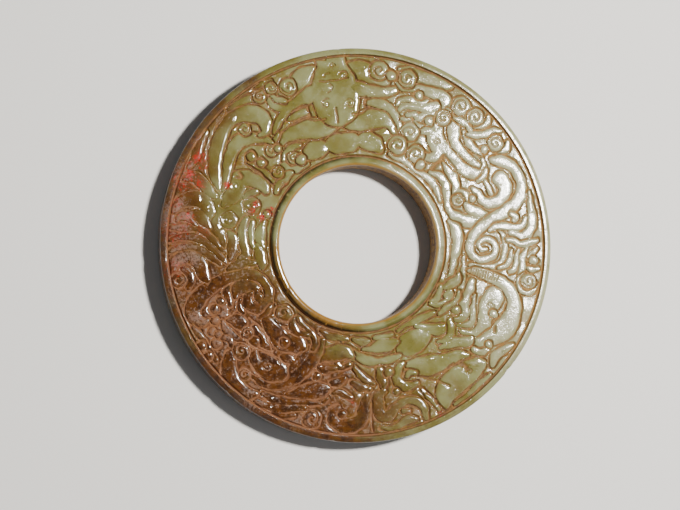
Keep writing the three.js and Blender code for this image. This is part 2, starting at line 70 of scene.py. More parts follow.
# The carving is set out on the band from the hole's edge (0) to the disc's edge (1). Each layer is a
# group of ribbons that flow into one form, laid over the layers before it. Each point of a ribbon is
# degrees counter-clockwise from +X, share of the band, and width in millimetres.
# The frontal beast at the top.
FRONTAL_BEAST = (
    (
        ((119.6, 0.18, 1.6), (117, 0.205, 3.8), (113.5, 0.205, 4.2), (110.8, 0.2, 3)),
        ((106, 0.2, 2.6), (102.5, 0.2, 4.4), (98.7, 0.19, 4.6), (95, 0.2, 4.6), (91.8, 0.205, 3)),
        ((88, 0.205, 2.6), (85, 0.215, 4.2), (81.5, 0.205, 4), (78, 0.175, 2.6)),
    ),
    (
        ((104.8, 0.845, 2.6), (108.5, 0.82, 4.4), (112, 0.765, 4), (115, 0.72, 2.2), (117.5, 0.75, 1.6)),
        ((92.8, 0.83, 2.6), (90, 0.82, 4.2), (86.5, 0.79, 4.4), (82.5, 0.735, 2.6), (79.8, 0.74, 1.6)),
    ),
    (
        (
            (98.7, 0.44, 2.2), (101.5, 0.37, 2.8), (105, 0.355, 3.6), (109.5, 0.37, 4.8), (115, 0.4, 4.6),
            (120, 0.415, 3.6), (124, 0.42, 2.3), (127.3, 0.395, 1.2),
        ),
        (
            (98.7, 0.44, 2.2), (96.2, 0.38, 2.6), (92.5, 0.365, 3.6), (88, 0.38, 4.6), (83, 0.405, 4.6),
            (78.5, 0.42, 3.4), (75, 0.39, 2.2), (72, 0.34, 1.4), (70.6, 0.3, 0.8),
        ),
    ),
    (
        ((119.2, 0.535, 1.2), (115.5, 0.54, 2), (111.8, 0.535, 1.6)),
        (
            (86, 0.545, 1.8), (82, 0.545, 2.3), (78, 0.535, 2.1), (74.5, 0.49, 1.9), (71.6, 0.43, 1.6),
            (70, 0.375, 1),
        ),
    ),
    (
        (
            (98.7, 0.93, 6.6), (98.7, 0.83, 7), (98.7, 0.74, 9.2), (98.7, 0.64, 11), (98.7, 0.54, 10.4),
            (98.7, 0.485, 7.4),
        ),
        (
            (103, 0.67, 3.8), (107, 0.66, 3.8), (111, 0.645, 3.2), (115.5, 0.63, 2.2), (119, 0.65, 2.2),
            (121.6, 0.7, 2.1), (122.2, 0.765, 1.2),
        ),
        ((116, 0.625, 1.8), (120, 0.595, 2), (124, 0.555, 1.6), (127.5, 0.51, 1)),
        (
            (94, 0.67, 3.6), (90, 0.655, 3.4), (86.5, 0.64, 3), (81, 0.645, 2.4), (77.4, 0.675, 1.9),
            (75.6, 0.705, 1),
        ),
    ),
    (
        ((132, 0.285, 1), (128.5, 0.31, 1.6), (124.5, 0.32, 1.5), (121, 0.3, 0.9)),
        ((122.5, 0.135, 0.9), (126, 0.14, 1.4), (130, 0.15, 1.6), (133.5, 0.18, 1.8), (133.6, 0.25, 1.2)),
        ((130.5, 0.455, 1), (128.6, 0.46, 1.3), (126.5, 0.475, 0.8)),
    ),
)
# The dragon to the right of the beast.
RIGHT_DRAGON = (
    (
        (
            (76.6, 0.87, 1), (73.5, 0.9, 1.4), (69.5, 0.865, 3), (65, 0.872, 3.2), (61.5, 0.888, 2.4),
            (59.4, 0.905, 1.2),
        ),
    ),
    (
        (
            (57.4, 0.735, 2.2), (59.2, 0.79, 3), (62.5, 0.785, 2.8), (66.5, 0.77, 2.2), (70, 0.75, 1.9),
            (74, 0.725, 1.5), (76.2, 0.745, 0.9),
        ),
    ),
    (
        (
            (74.4, 0.57, 0.9), (73.5, 0.61, 1.3), (71.2, 0.645, 1.4), (68.2, 0.655, 1.3), (65.5, 0.67, 1.4),
            (64.2, 0.7, 1),
        ),
        (
            (72.8, 0.535, 0.9), (71.8, 0.575, 1.4), (68.8, 0.6, 1.6), (65.5, 0.615, 1.8), (62.5, 0.65, 2.2),
            (60.6, 0.7, 2.2),
        ),
        (
            (69.2, 0.515, 1), (66.6, 0.545, 1.5), (64.6, 0.53, 1.6), (63, 0.57, 1.7), (60.6, 0.615, 1.6),
            (58.8, 0.66, 1.4),
        ),
        ((65, 0.475, 1.2), (62, 0.465, 1.8), (60, 0.49, 1.4)),
        ((70.5, 0.47, 0.9), (67.5, 0.475, 1.2)),
    ),
    (
        (
            (70.8, 0.145, 0.9), (66, 0.145, 1.5), (62, 0.165, 2), (57, 0.145, 1.6), (51, 0.135, 1.2),
            (46, 0.155, 1.6), (40, 0.165, 1.9), (33, 0.15, 1.3), (28, 0.13, 0.8),
        ),
        (
            (45.2, 0.205, 0.8), (41, 0.245, 1.8), (35.5, 0.247, 2), (30, 0.215, 1.9), (25, 0.178, 1.5),
            (20, 0.175, 1.8), (16, 0.21, 2.5), (13.2, 0.27, 3), (11.2, 0.345, 2.6), (11.4, 0.4, 1.2),
        ),
        ((44.2, 0.36, 1.2), (40, 0.345, 2.1), (35, 0.335, 2.3), (31, 0.315, 1.9), (28.6, 0.275, 1.1)),
        ((20.8, 0.325, 1.2), (18, 0.345, 2.4), (15.4, 0.395, 2.8), (13.6, 0.455, 1.6)),
        ((27.2, 0.255, 0.9), (27.2, 0.32, 1.5), (25, 0.362, 1.5), (22.6, 0.352, 0.9)),
    ),
    (
        (
            (61, 0.43, 0.9), (58.6, 0.475, 2), (56.2, 0.53, 3.2), (54.6, 0.475, 4), (51, 0.43, 4.2),
            (45, 0.44, 3.6), (38, 0.45, 3.8), (32.6, 0.485, 3), (30.6, 0.55, 2.2), (32.2, 0.61, 1.4),
            (35, 0.64, 0.9),
        ),
        (
            (48, 0.42, 2.4), (48.2, 0.35, 2.6), (50, 0.305, 2.2), (53.2, 0.275, 1.7), (54.8, 0.225, 1.3),
            (54.6, 0.19, 0.9),
        ),
    ),
    (
        (
            (54.6, 0.695, 1.6), (51.6, 0.655, 2.8), (49.4, 0.6, 3), (46.4, 0.545, 2.4), (41, 0.535, 2),
            (36.5, 0.55, 1.8), (33.4, 0.58, 1),
        ),
        ((46.6, 0.665, 1.2), (43.4, 0.635, 1.6), (39.5, 0.63, 1.7), (36.6, 0.655, 1)),
    ),
    (
        ((56.4, 0.725, 0.9), (53.6, 0.72, 1.3), (50.4, 0.715, 1.6), (47.6, 0.735, 1.5), (45.4, 0.715, 1.2)),
        ((45, 0.67, 1), (43, 0.72, 1.7), (41, 0.785, 1.7), (40.3, 0.86, 1.5), (38.6, 0.905, 0.9)),
        ((45.2, 0.76, 0.9), (43.8, 0.81, 1.5), (43.4, 0.88, 1.3), (44.6, 0.92, 0.8)),
        ((34.6, 0.905, 1), (33, 0.865, 1.6), (33.4, 0.8, 1.3)),
    ),
)
# The arched tail with its great spiral.
TAIL_SCROLLS = (
    (
        (
            (24.8, 0.69, 3.8), (21, 0.7, 3.2), (18.2, 0.63, 2.6), (17.3, 0.545, 2.4), (19.6, 0.475, 2.2),
            (23.5, 0.455, 1.9), (26.3, 0.43, 1),
        ),
        ((26.8, 0.56, 0.8), (24, 0.562, 1.2), (21.3, 0.562, 1.3)),
        ((30.4, 0.615, 0.8), (28.8, 0.575, 1.2), (28, 0.5, 0.9)),
    ),
    (
        (
            (32.3, 0.705, 1.6), (30.2, 0.775, 2.8), (26.3, 0.838, 2.5), (21.6, 0.845, 2.4),
            (17.8, 0.815, 2.7), (15.4, 0.755, 2.9), (13.9, 0.68, 3), (12.5, 0.6, 2.9), (11.1, 0.52, 2.8),
            (9.2, 0.43, 2.6), (6.4, 0.355, 2.3), (2, 0.3, 2.1), (-3.6, 0.3, 1.9), (-6.2, 0.365, 1.8),
            (-5.9, 0.45, 1.7), (-3, 0.515, 1.6), (1.2, 0.505, 1.5), (3, 0.435, 1.4), (1.2, 0.375, 1.2),
            (-1.8, 0.39, 1.2), (-1.6, 0.435, 1),
        ),
        (
            (6.8, 0.55, 0.7), (3.6, 0.592, 1.2), (-1, 0.602, 1.4), (-5.6, 0.585, 1.3), (-8.8, 0.51, 1.2),
            (-9.5, 0.41, 1), (-9.7, 0.31, 0.9),
        ),
    ),
    (
        (
            (17.4, 0.885, 0.8), (12.4, 0.862, 1.8), (8.2, 0.855, 2.2), (5, 0.82, 2.3), (3.2, 0.76, 2.3),
            (3.9, 0.7, 2), (4.9, 0.645, 1),
        ),
        (
            (9.5, 0.8, 1), (7, 0.765, 1.5), (6.6, 0.69, 1.7), (7.6, 0.61, 1.8), (7.9, 0.54, 1.5),
            (6.6, 0.475, 0.9),
        ),
        ((11.8, 0.68, 1), (10.4, 0.72, 1.5), (9.2, 0.7, 1.2)),
    ),
    (
        ((2, 0.885, 0.8), (1.2, 0.82, 1.6), (0.6, 0.74, 1.5), (2, 0.67, 1.4), (2.4, 0.62, 0.9)),
        ((359.4, 0.79, 0.8), (356, 0.755, 1.5), (352.6, 0.765, 1.6), (350.4, 0.74, 0.9)),
        ((358.6, 0.72, 0.8), (355.6, 0.7, 1.3), (352.2, 0.7, 1.4), (350.2, 0.655, 1)),
        ((358.4, 0.655, 0.8), (355.2, 0.648, 1.2), (352.4, 0.62, 1.2), (351.2, 0.56, 0.8)),
        ((359.4, 0.875, 0.8), (357.6, 0.845, 1.1), (356.4, 0.805, 1)),
        ((353, 0.9, 0.9), (352.4, 0.85, 1.4), (352.8, 0.81, 0.9)),
        (
            (14.5, 0.145, 1), (9.5, 0.18, 2.6), (3.5, 0.19, 2.6), (-3, 0.175, 2.2), (-9, 0.165, 1.8),
            (-15, 0.165, 1.5), (-21, 0.155, 1),
        ),
        ((-5.5, 0.243, 0.7), (-10.5, 0.252, 1), (-15.5, 0.265, 1.6), (-20, 0.275, 1.9), (-25, 0.305, 1.2)),
    ),
)
# The dragon at the lower right.
LOWER_RIGHT_DRAGON = (
    (
        (
            (350.6, 0.79, 0.8), (348.4, 0.748, 1.2), (345.6, 0.765, 1.2), (344.4, 0.83, 1.2),
            (345.6, 0.89, 1), (348, 0.915, 0.8),
        ),
    ),
    (
        (
            (337, 0.42, 0.6), (334, 0.432, 0.9), (331, 0.458, 1.3), (328, 0.495, 1.5), (325.4, 0.5, 1.5),
            (323, 0.465, 1.2), (321.4, 0.42, 0.8),
        ),
        (
            (342.6, 0.355, 1.5), (339, 0.362, 2.2), (335.5, 0.355, 2), (331.5, 0.368, 2.5),
            (327.6, 0.405, 2.8), (324.6, 0.405, 2), (322.7, 0.365, 1.1),
        ),
    ),
    (
        (
            (342.6, 0.565, 1.6), (339.6, 0.578, 4.6), (335.6, 0.568, 4.5), (331, 0.585, 3.5),
            (327.5, 0.605, 3), (324, 0.59, 2.5), (321.6, 0.54, 1.8), (320.4, 0.475, 0.9),
        ),
    ),
    (
        (
            (347.3, 0.31, 1), (347.7, 0.37, 1.9), (347.2, 0.46, 2.5), (346.5, 0.55, 2.7),
            (345.5, 0.63, 2.8), (343.4, 0.705, 3), (340, 0.765, 3.3), (336, 0.785, 4), (331.6, 0.78, 5),
            (327.6, 0.745, 4.4), (324.4, 0.7, 3), (321.2, 0.64, 2), (319.2, 0.58, 1),
        ),
    ),
    (
        ((327.6, 0.905, 1), (324.6, 0.865, 2), (321.4, 0.84, 2.3), (318.6, 0.87, 1.4)),
        ((321.6, 0.755, 1), (319.4, 0.725, 1.8), (318.2, 0.665, 1.6)),
        (
            (321, 0.585, 0.9), (318.6, 0.575, 2.4), (316.2, 0.515, 2.4), (312.6, 0.475, 1.8),
            (309, 0.455, 0.9),
        ),
        ((321.6, 0.335, 1), (318.8, 0.385, 1.9), (316, 0.425, 1.7), (312.2, 0.425, 1.2), (309.6, 0.4, 0.8)),
    ),
    (
        ((344.4, 0.225, 0.9), (341, 0.232, 1.9), (337.6, 0.195, 2.3), (334.8, 0.16, 1.6)),
        ((333.6, 0.215, 1.2), (331.4, 0.215, 2.2), (329.4, 0.22, 1.3)),
        (
            (335.5, 0.285, 0.8), (331.6, 0.295, 1.2), (327.6, 0.275, 1.4), (323.6, 0.25, 1.4),
            (320, 0.235, 0.9),
        ),
        ((327.6, 0.215, 0.9), (325, 0.2, 1.2), (322.4, 0.165, 1.2), (320.6, 0.125, 0.8)),
        ((334, 0.122, 0.8), (329.4, 0.138, 1.6), (325.4, 0.14, 1.7), (322.4, 0.12, 0.9)),
    ),
)
# The dragon at the bottom.
LOWER_DRAGON = (
    (
        (
            (317.2, 0.8, 1.6), (314.6, 0.775, 4), (310.5, 0.76, 5.4), (305.5, 0.755, 6), (301, 0.79, 4.8),
            (298.8, 0.87, 2.4),
        ),
        (
            (315.4, 0.65, 1), (312.4, 0.6, 2.6), (308, 0.565, 3), (303, 0.535, 4.4), (299, 0.505, 4.6),
            (295.5, 0.47, 3.6), (292.6, 0.43, 1.6),
        ),
    ),
    (
        ((296.4, 0.89, 0.8), (295.6, 0.8, 1), (294.6, 0.72, 0.9), (294, 0.67, 0.7)),
        ((316, 0.91, 0.8), (312, 0.9, 1.2), (306, 0.91, 1.2), (301.5, 0.915, 0.8)),
    ),
    (
        ((309.4, 0.285, 1), (305.6, 0.285, 3.6), (301, 0.28, 5.2), (296.4, 0.28, 5), (293, 0.3, 2.6)),
        ((317, 0.335, 1), (314.2, 0.33, 2.7), (311.4, 0.28, 2.4), (308.4, 0.22, 1.8), (305.8, 0.18, 0.9)),
        ((318.6, 0.2, 1), (313, 0.165, 1.6), (306.6, 0.14, 1.6), (300, 0.125, 1.1), (295, 0.135, 0.9)),
    ),
    (
        (
            (290.6, 0.335, 1), (286, 0.34, 1.9), (281, 0.335, 1.5), (276.5, 0.325, 2.2), (271.5, 0.29, 2.2),
            (268, 0.245, 1.1),
        ),
        ((292, 0.215, 1.2), (287, 0.215, 3), (282, 0.21, 3), (277.6, 0.225, 1.6), (273, 0.215, 1)),
        ((276.2, 0.155, 1), (272, 0.155, 2), (267.6, 0.135, 1.2)),
        ((290.6, 0.145, 1), (285, 0.14, 1.2), (280, 0.135, 0.9)),
    ),
    (
        (
            (291.6, 0.905, 1.2), (292.2, 0.82, 1.9), (290.8, 0.745, 2.1), (287, 0.71, 2), (283.4, 0.745, 2),
            (280, 0.8, 2.6), (277.6, 0.78, 2.6), (277.2, 0.7, 2.8), (278, 0.62, 2.2), (280.4, 0.585, 1),
        ),
        (
            (293.2, 0.6, 1.2), (290, 0.608, 2), (287, 0.57, 2.3), (286.2, 0.5, 2.2), (288, 0.435, 1.8),
            (291, 0.405, 1),
        ),
        ((280.2, 0.54, 1.8), (280.4, 0.47, 2.6), (280, 0.41, 1.8)),
        ((276.6, 0.51, 0.9), (272.6, 0.465, 1.8), (269.2, 0.395, 1.2), (267.4, 0.35, 0.8)),
        ((274.6, 0.56, 1.2), (271, 0.535, 2), (268, 0.5, 1.4)),
    ),
    (
        (
            (288.6, 0.885, 1), (286, 0.865, 2.2), (283.6, 0.89, 1.6), (280.5, 0.905, 1.2),
            (277.4, 0.895, 0.9),
        ),
        ((287.2, 0.8, 1), (285.4, 0.79, 1.3)),
        ((294.2, 0.52, 1), (292.2, 0.5, 1.6), (290.6, 0.52, 1.2)),
    ),
    (
        (
            (273.2, 0.61, 1.6), (272.6, 0.71, 2.8), (270.8, 0.81, 3.2), (266.6, 0.865, 3.2),
            (262.6, 0.835, 3), (261.6, 0.765, 2.3), (263, 0.715, 1.4),
        ),
        ((264.4, 0.47, 1), (261.8, 0.505, 2), (259.4, 0.52, 1.2)),
        ((267.4, 0.62, 1), (264.6, 0.6, 1.8), (262.2, 0.58, 1.4), (260.6, 0.6, 0.9)),
        ((259.6, 0.39, 1), (257.2, 0.405, 2), (254.2, 0.43, 1.7), (252.2, 0.41, 0.9)),
        ((266, 0.345, 1), (262.4, 0.385, 1.3), (259.6, 0.345, 1)),
    ),
    (
        ((266.4, 0.27, 1.4), (262.6, 0.245, 3.2), (258, 0.27, 3.6), (254.2, 0.3, 2.8), (252, 0.355, 1.4)),
        ((263.4, 0.135, 1), (258, 0.135, 1.6), (252, 0.145, 2), (247.6, 0.125, 1)),
    ),
)
# The dragon in the russet zone and the spiral over it.
RUSSET_DRAGON = (
    (
        ((256.2, 0.71, 0.8), (251, 0.735, 1.5), (246, 0.78, 1.9), (241.4, 0.815, 1.7), (237.4, 0.825, 1.1)),
        ((252.2, 0.785, 0.9), (248, 0.82, 1.5), (244, 0.87, 1.8), (239.8, 0.895, 1.6), (236.8, 0.905, 1)),
        ((249.4, 0.87, 0.8), (246.4, 0.91, 1.2), (243.4, 0.925, 0.9)),
    ),
    (
        ((258, 0.57, 1.4), (255, 0.6, 3.6), (251, 0.645, 3.4), (247.6, 0.69, 1.9), (244.6, 0.73, 0.9)),
        ((258.6, 0.66, 0.8), (257.6, 0.69, 1)),
    ),
    (
        (
            (249.6, 0.2, 1.2), (249.2, 0.28, 2.2), (248.4, 0.38, 2.8), (246.4, 0.5, 3.2), (243.6, 0.6, 3),
            (240.4, 0.685, 2.3), (236.2, 0.745, 1.6), (230.6, 0.762, 0.9),
        ),
        ((244.6, 0.3, 1.2), (243.7, 0.38, 1.9), (242.6, 0.47, 1.9), (241.2, 0.545, 1.2)),
        ((241, 0.465, 1.2), (238.6, 0.46, 2.3), (236, 0.475, 1.1)),
    ),
    (
        ((237.9, 0.6, 4.6), (235, 0.612, 5.6), (231.4, 0.61, 5.2), (228.2, 0.61, 3.4)),
    ),
    (
        (
            (242, 0.315, 1.8), (239, 0.32, 3.8), (235.4, 0.345, 4.2), (231.6, 0.365, 4.4),
            (227.6, 0.35, 3.8), (223.5, 0.345, 3.2), (219.8, 0.335, 1.8),
        ),
        ((241, 0.205, 1), (237, 0.235, 1.6), (232.6, 0.225, 2), (228.8, 0.18, 1.5)),
        (
            (228.4, 0.245, 0.9), (224.6, 0.268, 1.4), (220.6, 0.28, 1.4), (217.6, 0.255, 1.3),
            (216.2, 0.205, 1),
        ),
        (
            (247, 0.29, 1.2), (246.4, 0.225, 1.6), (243.2, 0.185, 1.4), (239.6, 0.165, 1.3),
            (235, 0.155, 1.4), (230.6, 0.135, 1.2),
        ),
    ),
    (
        (
            (230.6, 0.478, 0.8), (227.2, 0.49, 1.6), (224.4, 0.475, 2.4), (221, 0.465, 1.7),
            (218.6, 0.455, 1),
        ),
        ((216.2, 0.52, 1.2), (213.8, 0.53, 3.2), (211.6, 0.555, 2.2), (210.6, 0.6, 1)),
        ((208.6, 0.55, 0.9), (207.2, 0.49, 1.6), (205.6, 0.46, 1)),
    ),
    (
        (
            (235.4, 0.86, 1.6), (233.4, 0.895, 2.6), (230, 0.9, 3.2), (226.6, 0.885, 3.6),
            (223.8, 0.835, 3.4), (221.8, 0.775, 2.6), (220.4, 0.745, 1.4),
        ),
        ((220.8, 0.605, 1), (217.2, 0.635, 1.8), (213.2, 0.66, 1.8), (210, 0.65, 1)),
        ((218.9, 0.7, 0.9), (216.9, 0.68, 1.4), (215, 0.71, 1.2), (214.6, 0.745, 0.8)),
    ),
    (
        (
            (205, 0.33, 1), (206.2, 0.37, 1.9), (209.6, 0.385, 2.3), (213.2, 0.335, 2.3), (213, 0.25, 2.3),
            (209.4, 0.195, 2.2), (203.6, 0.185, 2), (198.4, 0.225, 2.2), (195.4, 0.315, 2.4),
            (194.7, 0.42, 2.4), (195.4, 0.52, 2.7), (196.6, 0.62, 3.1), (198.6, 0.73, 3.6),
            (201.4, 0.82, 3.6), (204.8, 0.845, 3), (207, 0.8, 2), (207.2, 0.745, 1.2),
        ),
        (
            (203.6, 0.46, 1), (201.2, 0.435, 2.6), (200.4, 0.375, 3.1), (201.3, 0.315, 2.4),
            (203.8, 0.268, 1.4),
        ),
        ((210.6, 0.29, 0.9), (208.2, 0.285, 1.7), (205.8, 0.29, 1.1)),
    ),
    (
        ((206, 0.53, 0.9), (203, 0.515, 1.4), (200.4, 0.52, 1.5), (198.8, 0.485, 0.9)),
        ((216.6, 0.365, 0.8), (217, 0.3, 1), (215.6, 0.24, 0.8)),
        ((211, 0.46, 0.8), (208.5, 0.465, 1), (205.5, 0.435, 0.7)),
        ((219.6, 0.88, 0.9), (215.4, 0.87, 1.3), (210.6, 0.87, 1.3), (207, 0.885, 0.9)),
    ),
)
# The dragon at the left.
LEFT_DRAGON = (
    (
        (
            (182.8, 0.925, 0.9), (181.7, 0.83, 1.6), (181.9, 0.73, 1.8), (183.1, 0.645, 1.7),
            (185.6, 0.575, 1.5), (188.8, 0.51, 0.9),
        ),
        (
            (179.6, 0.92, 0.9), (178.4, 0.84, 1.5), (178.1, 0.74, 1.7), (179.2, 0.65, 1.6),
            (181.8, 0.575, 1.5), (185.2, 0.51, 1.3), (188.4, 0.455, 0.8),
        ),
        (
            (175.6, 0.91, 1), (175.4, 0.83, 1.7), (174.9, 0.75, 1.6), (175.4, 0.665, 1.4),
            (177.6, 0.59, 1.4), (180.6, 0.525, 1.2), (183.6, 0.475, 0.8),
        ),
    ),
    (
        (
            (192.4, 0.925, 1.4), (189, 0.925, 2.2), (186, 0.88, 2.6), (185, 0.8, 2.8), (185.6, 0.725, 3),
            (188.2, 0.675, 3.2), (191.6, 0.665, 2.6), (194, 0.64, 1.2),
        ),
        ((194.9, 0.81, 0.9), (193, 0.775, 1.6), (190.2, 0.782, 1.8), (188.4, 0.825, 1.3)),
    ),
    (
        ((191.4, 0.455, 0.9), (190.4, 0.385, 1.9), (189.7, 0.305, 1.9), (190.6, 0.235, 1.3)),
        ((187.8, 0.43, 0.9), (185.2, 0.41, 2), (181.4, 0.395, 2.5), (177.6, 0.395, 2.3), (175.2, 0.43, 1)),
        (
            (187.4, 0.345, 1), (185.4, 0.29, 2), (181.4, 0.295, 2.1), (176.6, 0.315, 2), (171.8, 0.32, 1.8),
            (167.6, 0.3, 1),
        ),
        ((194.4, 0.165, 1.2), (190, 0.165, 2.6), (185.4, 0.17, 2.4), (181.8, 0.19, 1.4)),
        ((182.4, 0.225, 0.8), (178.4, 0.235, 1.3), (173.6, 0.245, 1.5), (168.6, 0.245, 1)),
        ((182.4, 0.135, 1), (177.4, 0.165, 2.4), (171.8, 0.165, 2.2), (167.4, 0.15, 1)),
    ),
    (
        (
            (170.6, 0.91, 1.2), (167.4, 0.87, 2.6), (165.4, 0.79, 3.2), (165.2, 0.7, 3.4),
            (167.4, 0.63, 2.8), (170, 0.6, 1.2),
        ),
        ((174.2, 0.6, 1), (172, 0.645, 2.4), (170.2, 0.71, 2.2), (170.4, 0.78, 1)),
        ((173.2, 0.88, 0.9), (171.6, 0.84, 1.8), (172.2, 0.775, 1.4), (173.6, 0.72, 0.9)),
        ((160.2, 0.89, 1), (158.6, 0.82, 2.4), (159.6, 0.73, 2.6), (161.6, 0.65, 2.2), (162.4, 0.6, 1)),
        ((156.6, 0.9, 0.9), (152.4, 0.885, 2), (147.8, 0.905, 1.4), (144, 0.915, 0.8)),
    ),
    (
        (
            (164.4, 0.515, 1.2), (161, 0.485, 3.2), (157, 0.465, 4.2), (153, 0.48, 4.2), (150, 0.425, 3.6),
            (149, 0.345, 3.2), (149, 0.275, 2.7), (150.6, 0.225, 1.4),
        ),
        ((158.6, 0.375, 0.9), (155.6, 0.335, 1.6), (153.4, 0.3, 1.2)),
        ((143.4, 0.475, 1.2), (143.2, 0.395, 1.7), (143.2, 0.305, 1.8), (143.6, 0.23, 1.2)),
        ((148.4, 0.15, 1), (144.6, 0.165, 1.8), (140, 0.155, 1.5), (136.4, 0.165, 1.9), (133.4, 0.15, 0.9)),
    ),
    (
        (
            (159.2, 0.56, 0.9), (155, 0.575, 1.7), (150.4, 0.61, 2.6), (145.4, 0.645, 3.1),
            (140.4, 0.658, 3.2), (137, 0.62, 3), (134.2, 0.565, 2.5), (131.8, 0.505, 1.7),
            (130.8, 0.455, 0.9),
        ),
    ),
    (
        (
            (159, 0.595, 0.9), (155.4, 0.66, 2.6), (150.4, 0.73, 3.3), (145, 0.78, 3.4), (140, 0.818, 3),
            (136, 0.83, 2.9), (132.2, 0.8, 3.8), (129.2, 0.735, 3.9), (127.8, 0.665, 3.6),
            (128.2, 0.605, 2.8), (130.4, 0.56, 1.8), (132.6, 0.57, 0.9),
        ),
    ),
    (
        ((134.6, 0.91, 0.9), (130.6, 0.885, 1.4), (127.2, 0.86, 1.9), (125.6, 0.8, 1)),
        ((123.6, 0.9, 0.9), (121.4, 0.905, 1.2), (118.6, 0.89, 0.9)),
        ((120.6, 0.775, 0.9), (119.6, 0.73, 1.3), (117.4, 0.685, 1)),
    ),
)

# Curled bosses: degrees, share of the band, radius, hand of the curl (0 plain), degrees where it starts.
CURLS = (
    (114.3, 0.785, 2, 1, 200), (83, 0.825, 2.2, -1, 0), (78.9, 0.8, 1.2, 0, 0), (73.3, 0.81, 2.1, 1, 160),
    (67.5, 0.714, 1, 0, 0), (60, 0.552, 1.1, 0, 0), (56, 0.645, 1.8, 0, 0), (65.2, 0.39, 2.1, -1, 200),
    (68.2, 0.245, 2.2, -1, 200), (57.4, 0.25, 2.1, -1, 200), (51.8, 0.2, 1.1, 0, 0),
    (53.2, 0.82, 2.25, -1, 200), (47.3, 0.83, 2, -1, 200), (36.4, 0.81, 1.9, 1, 20), (37, 0.7, 0.9, 0, 0),
    (24.2, 0.272, 1.4, -1, 90), (22, 0.395, 0.8, 0, 0), (355.4, 0.855, 1.1, 0, 0),
    (348.5, 0.835, 1.75, 1, 200), (333.5, 0.635, 1, 0, 0), (326.6, 0.335, 1, 0, 0),
    (323.2, 0.735, 0.9, 0, 0), (284.9, 0.615, 0.8, 0, 0), (283.6, 0.44, 1.1, 0, 0), (264.6, 0.765, 1, 0, 0),
    (255.2, 0.85, 2.1, -1, 90), (252.6, 0.495, 1, 0, 0), (233, 0.365, 1.1, -1, 90), (223, 0.188, 1.9, 1, 0),
    (222.6, 0.665, 1.9, 1, 0), (229, 0.785, 1.3, 0, 0), (217, 0.905, 1, 0, 0), (213.2, 0.905, 1.1, 0, 0),
    (223.4, 0.535, 1.2, 0, 0), (218.8, 0.53, 1.4, 0, 0), (191.8, 0.875, 1.7, -1, 90),
    (161, 0.285, 1.9, 1, 200), (170.3, 0.445, 1.9, 1, 90), (162.6, 0.145, 0.9, 0, 0),
    (138.6, 0.24, 1.35, 0, 0), (140.6, 0.4, 1.1, 0, 0), (141, 0.5, 1.2, 0, 0), (133.6, 0.405, 1.3, 0, 0),
    (130.6, 0.385, 0.9, 0, 0), (135.2, 0.69, 1.4, -1, 60), (127.4, 0.24, 1.4, 1, 90),
    (124.3, 0.19, 1.2, -1, 90), (124.2, 0.83, 1.6, 1, 90), (119.6, 0.84, 1.4, -1, 90),
    (215.2, 0.79, 1.2, 0, 0), (211.2, 0.77, 1, 0, 0), (204.6, 0.66, 1.1, 0, 0), (208.4, 0.7, 1, 0, 0),
    (202.6, 0.59, 0.9, 0, 0), (213, 0.735, 0.8, 0, 0),
)

# Spirals that are only incised: degrees, share of the band, radius, hand and degrees where each starts.
ROUNDELS = (
    (103, 0.55, 1.5, 1, 60), (93.6, 0.525, 1.5, -1, 120), (98.4, 0.86, 0.9, 1, 0), (312, 0.76, 1.3, 1, 90),
    (155.5, 0.475, 1.3, -1, 0), (52.5, 0.44, 1.0, 1, 0), (233.5, 0.61, 1.5, 1, 200), (336, 0.575, 1.2, -1, 0),
)

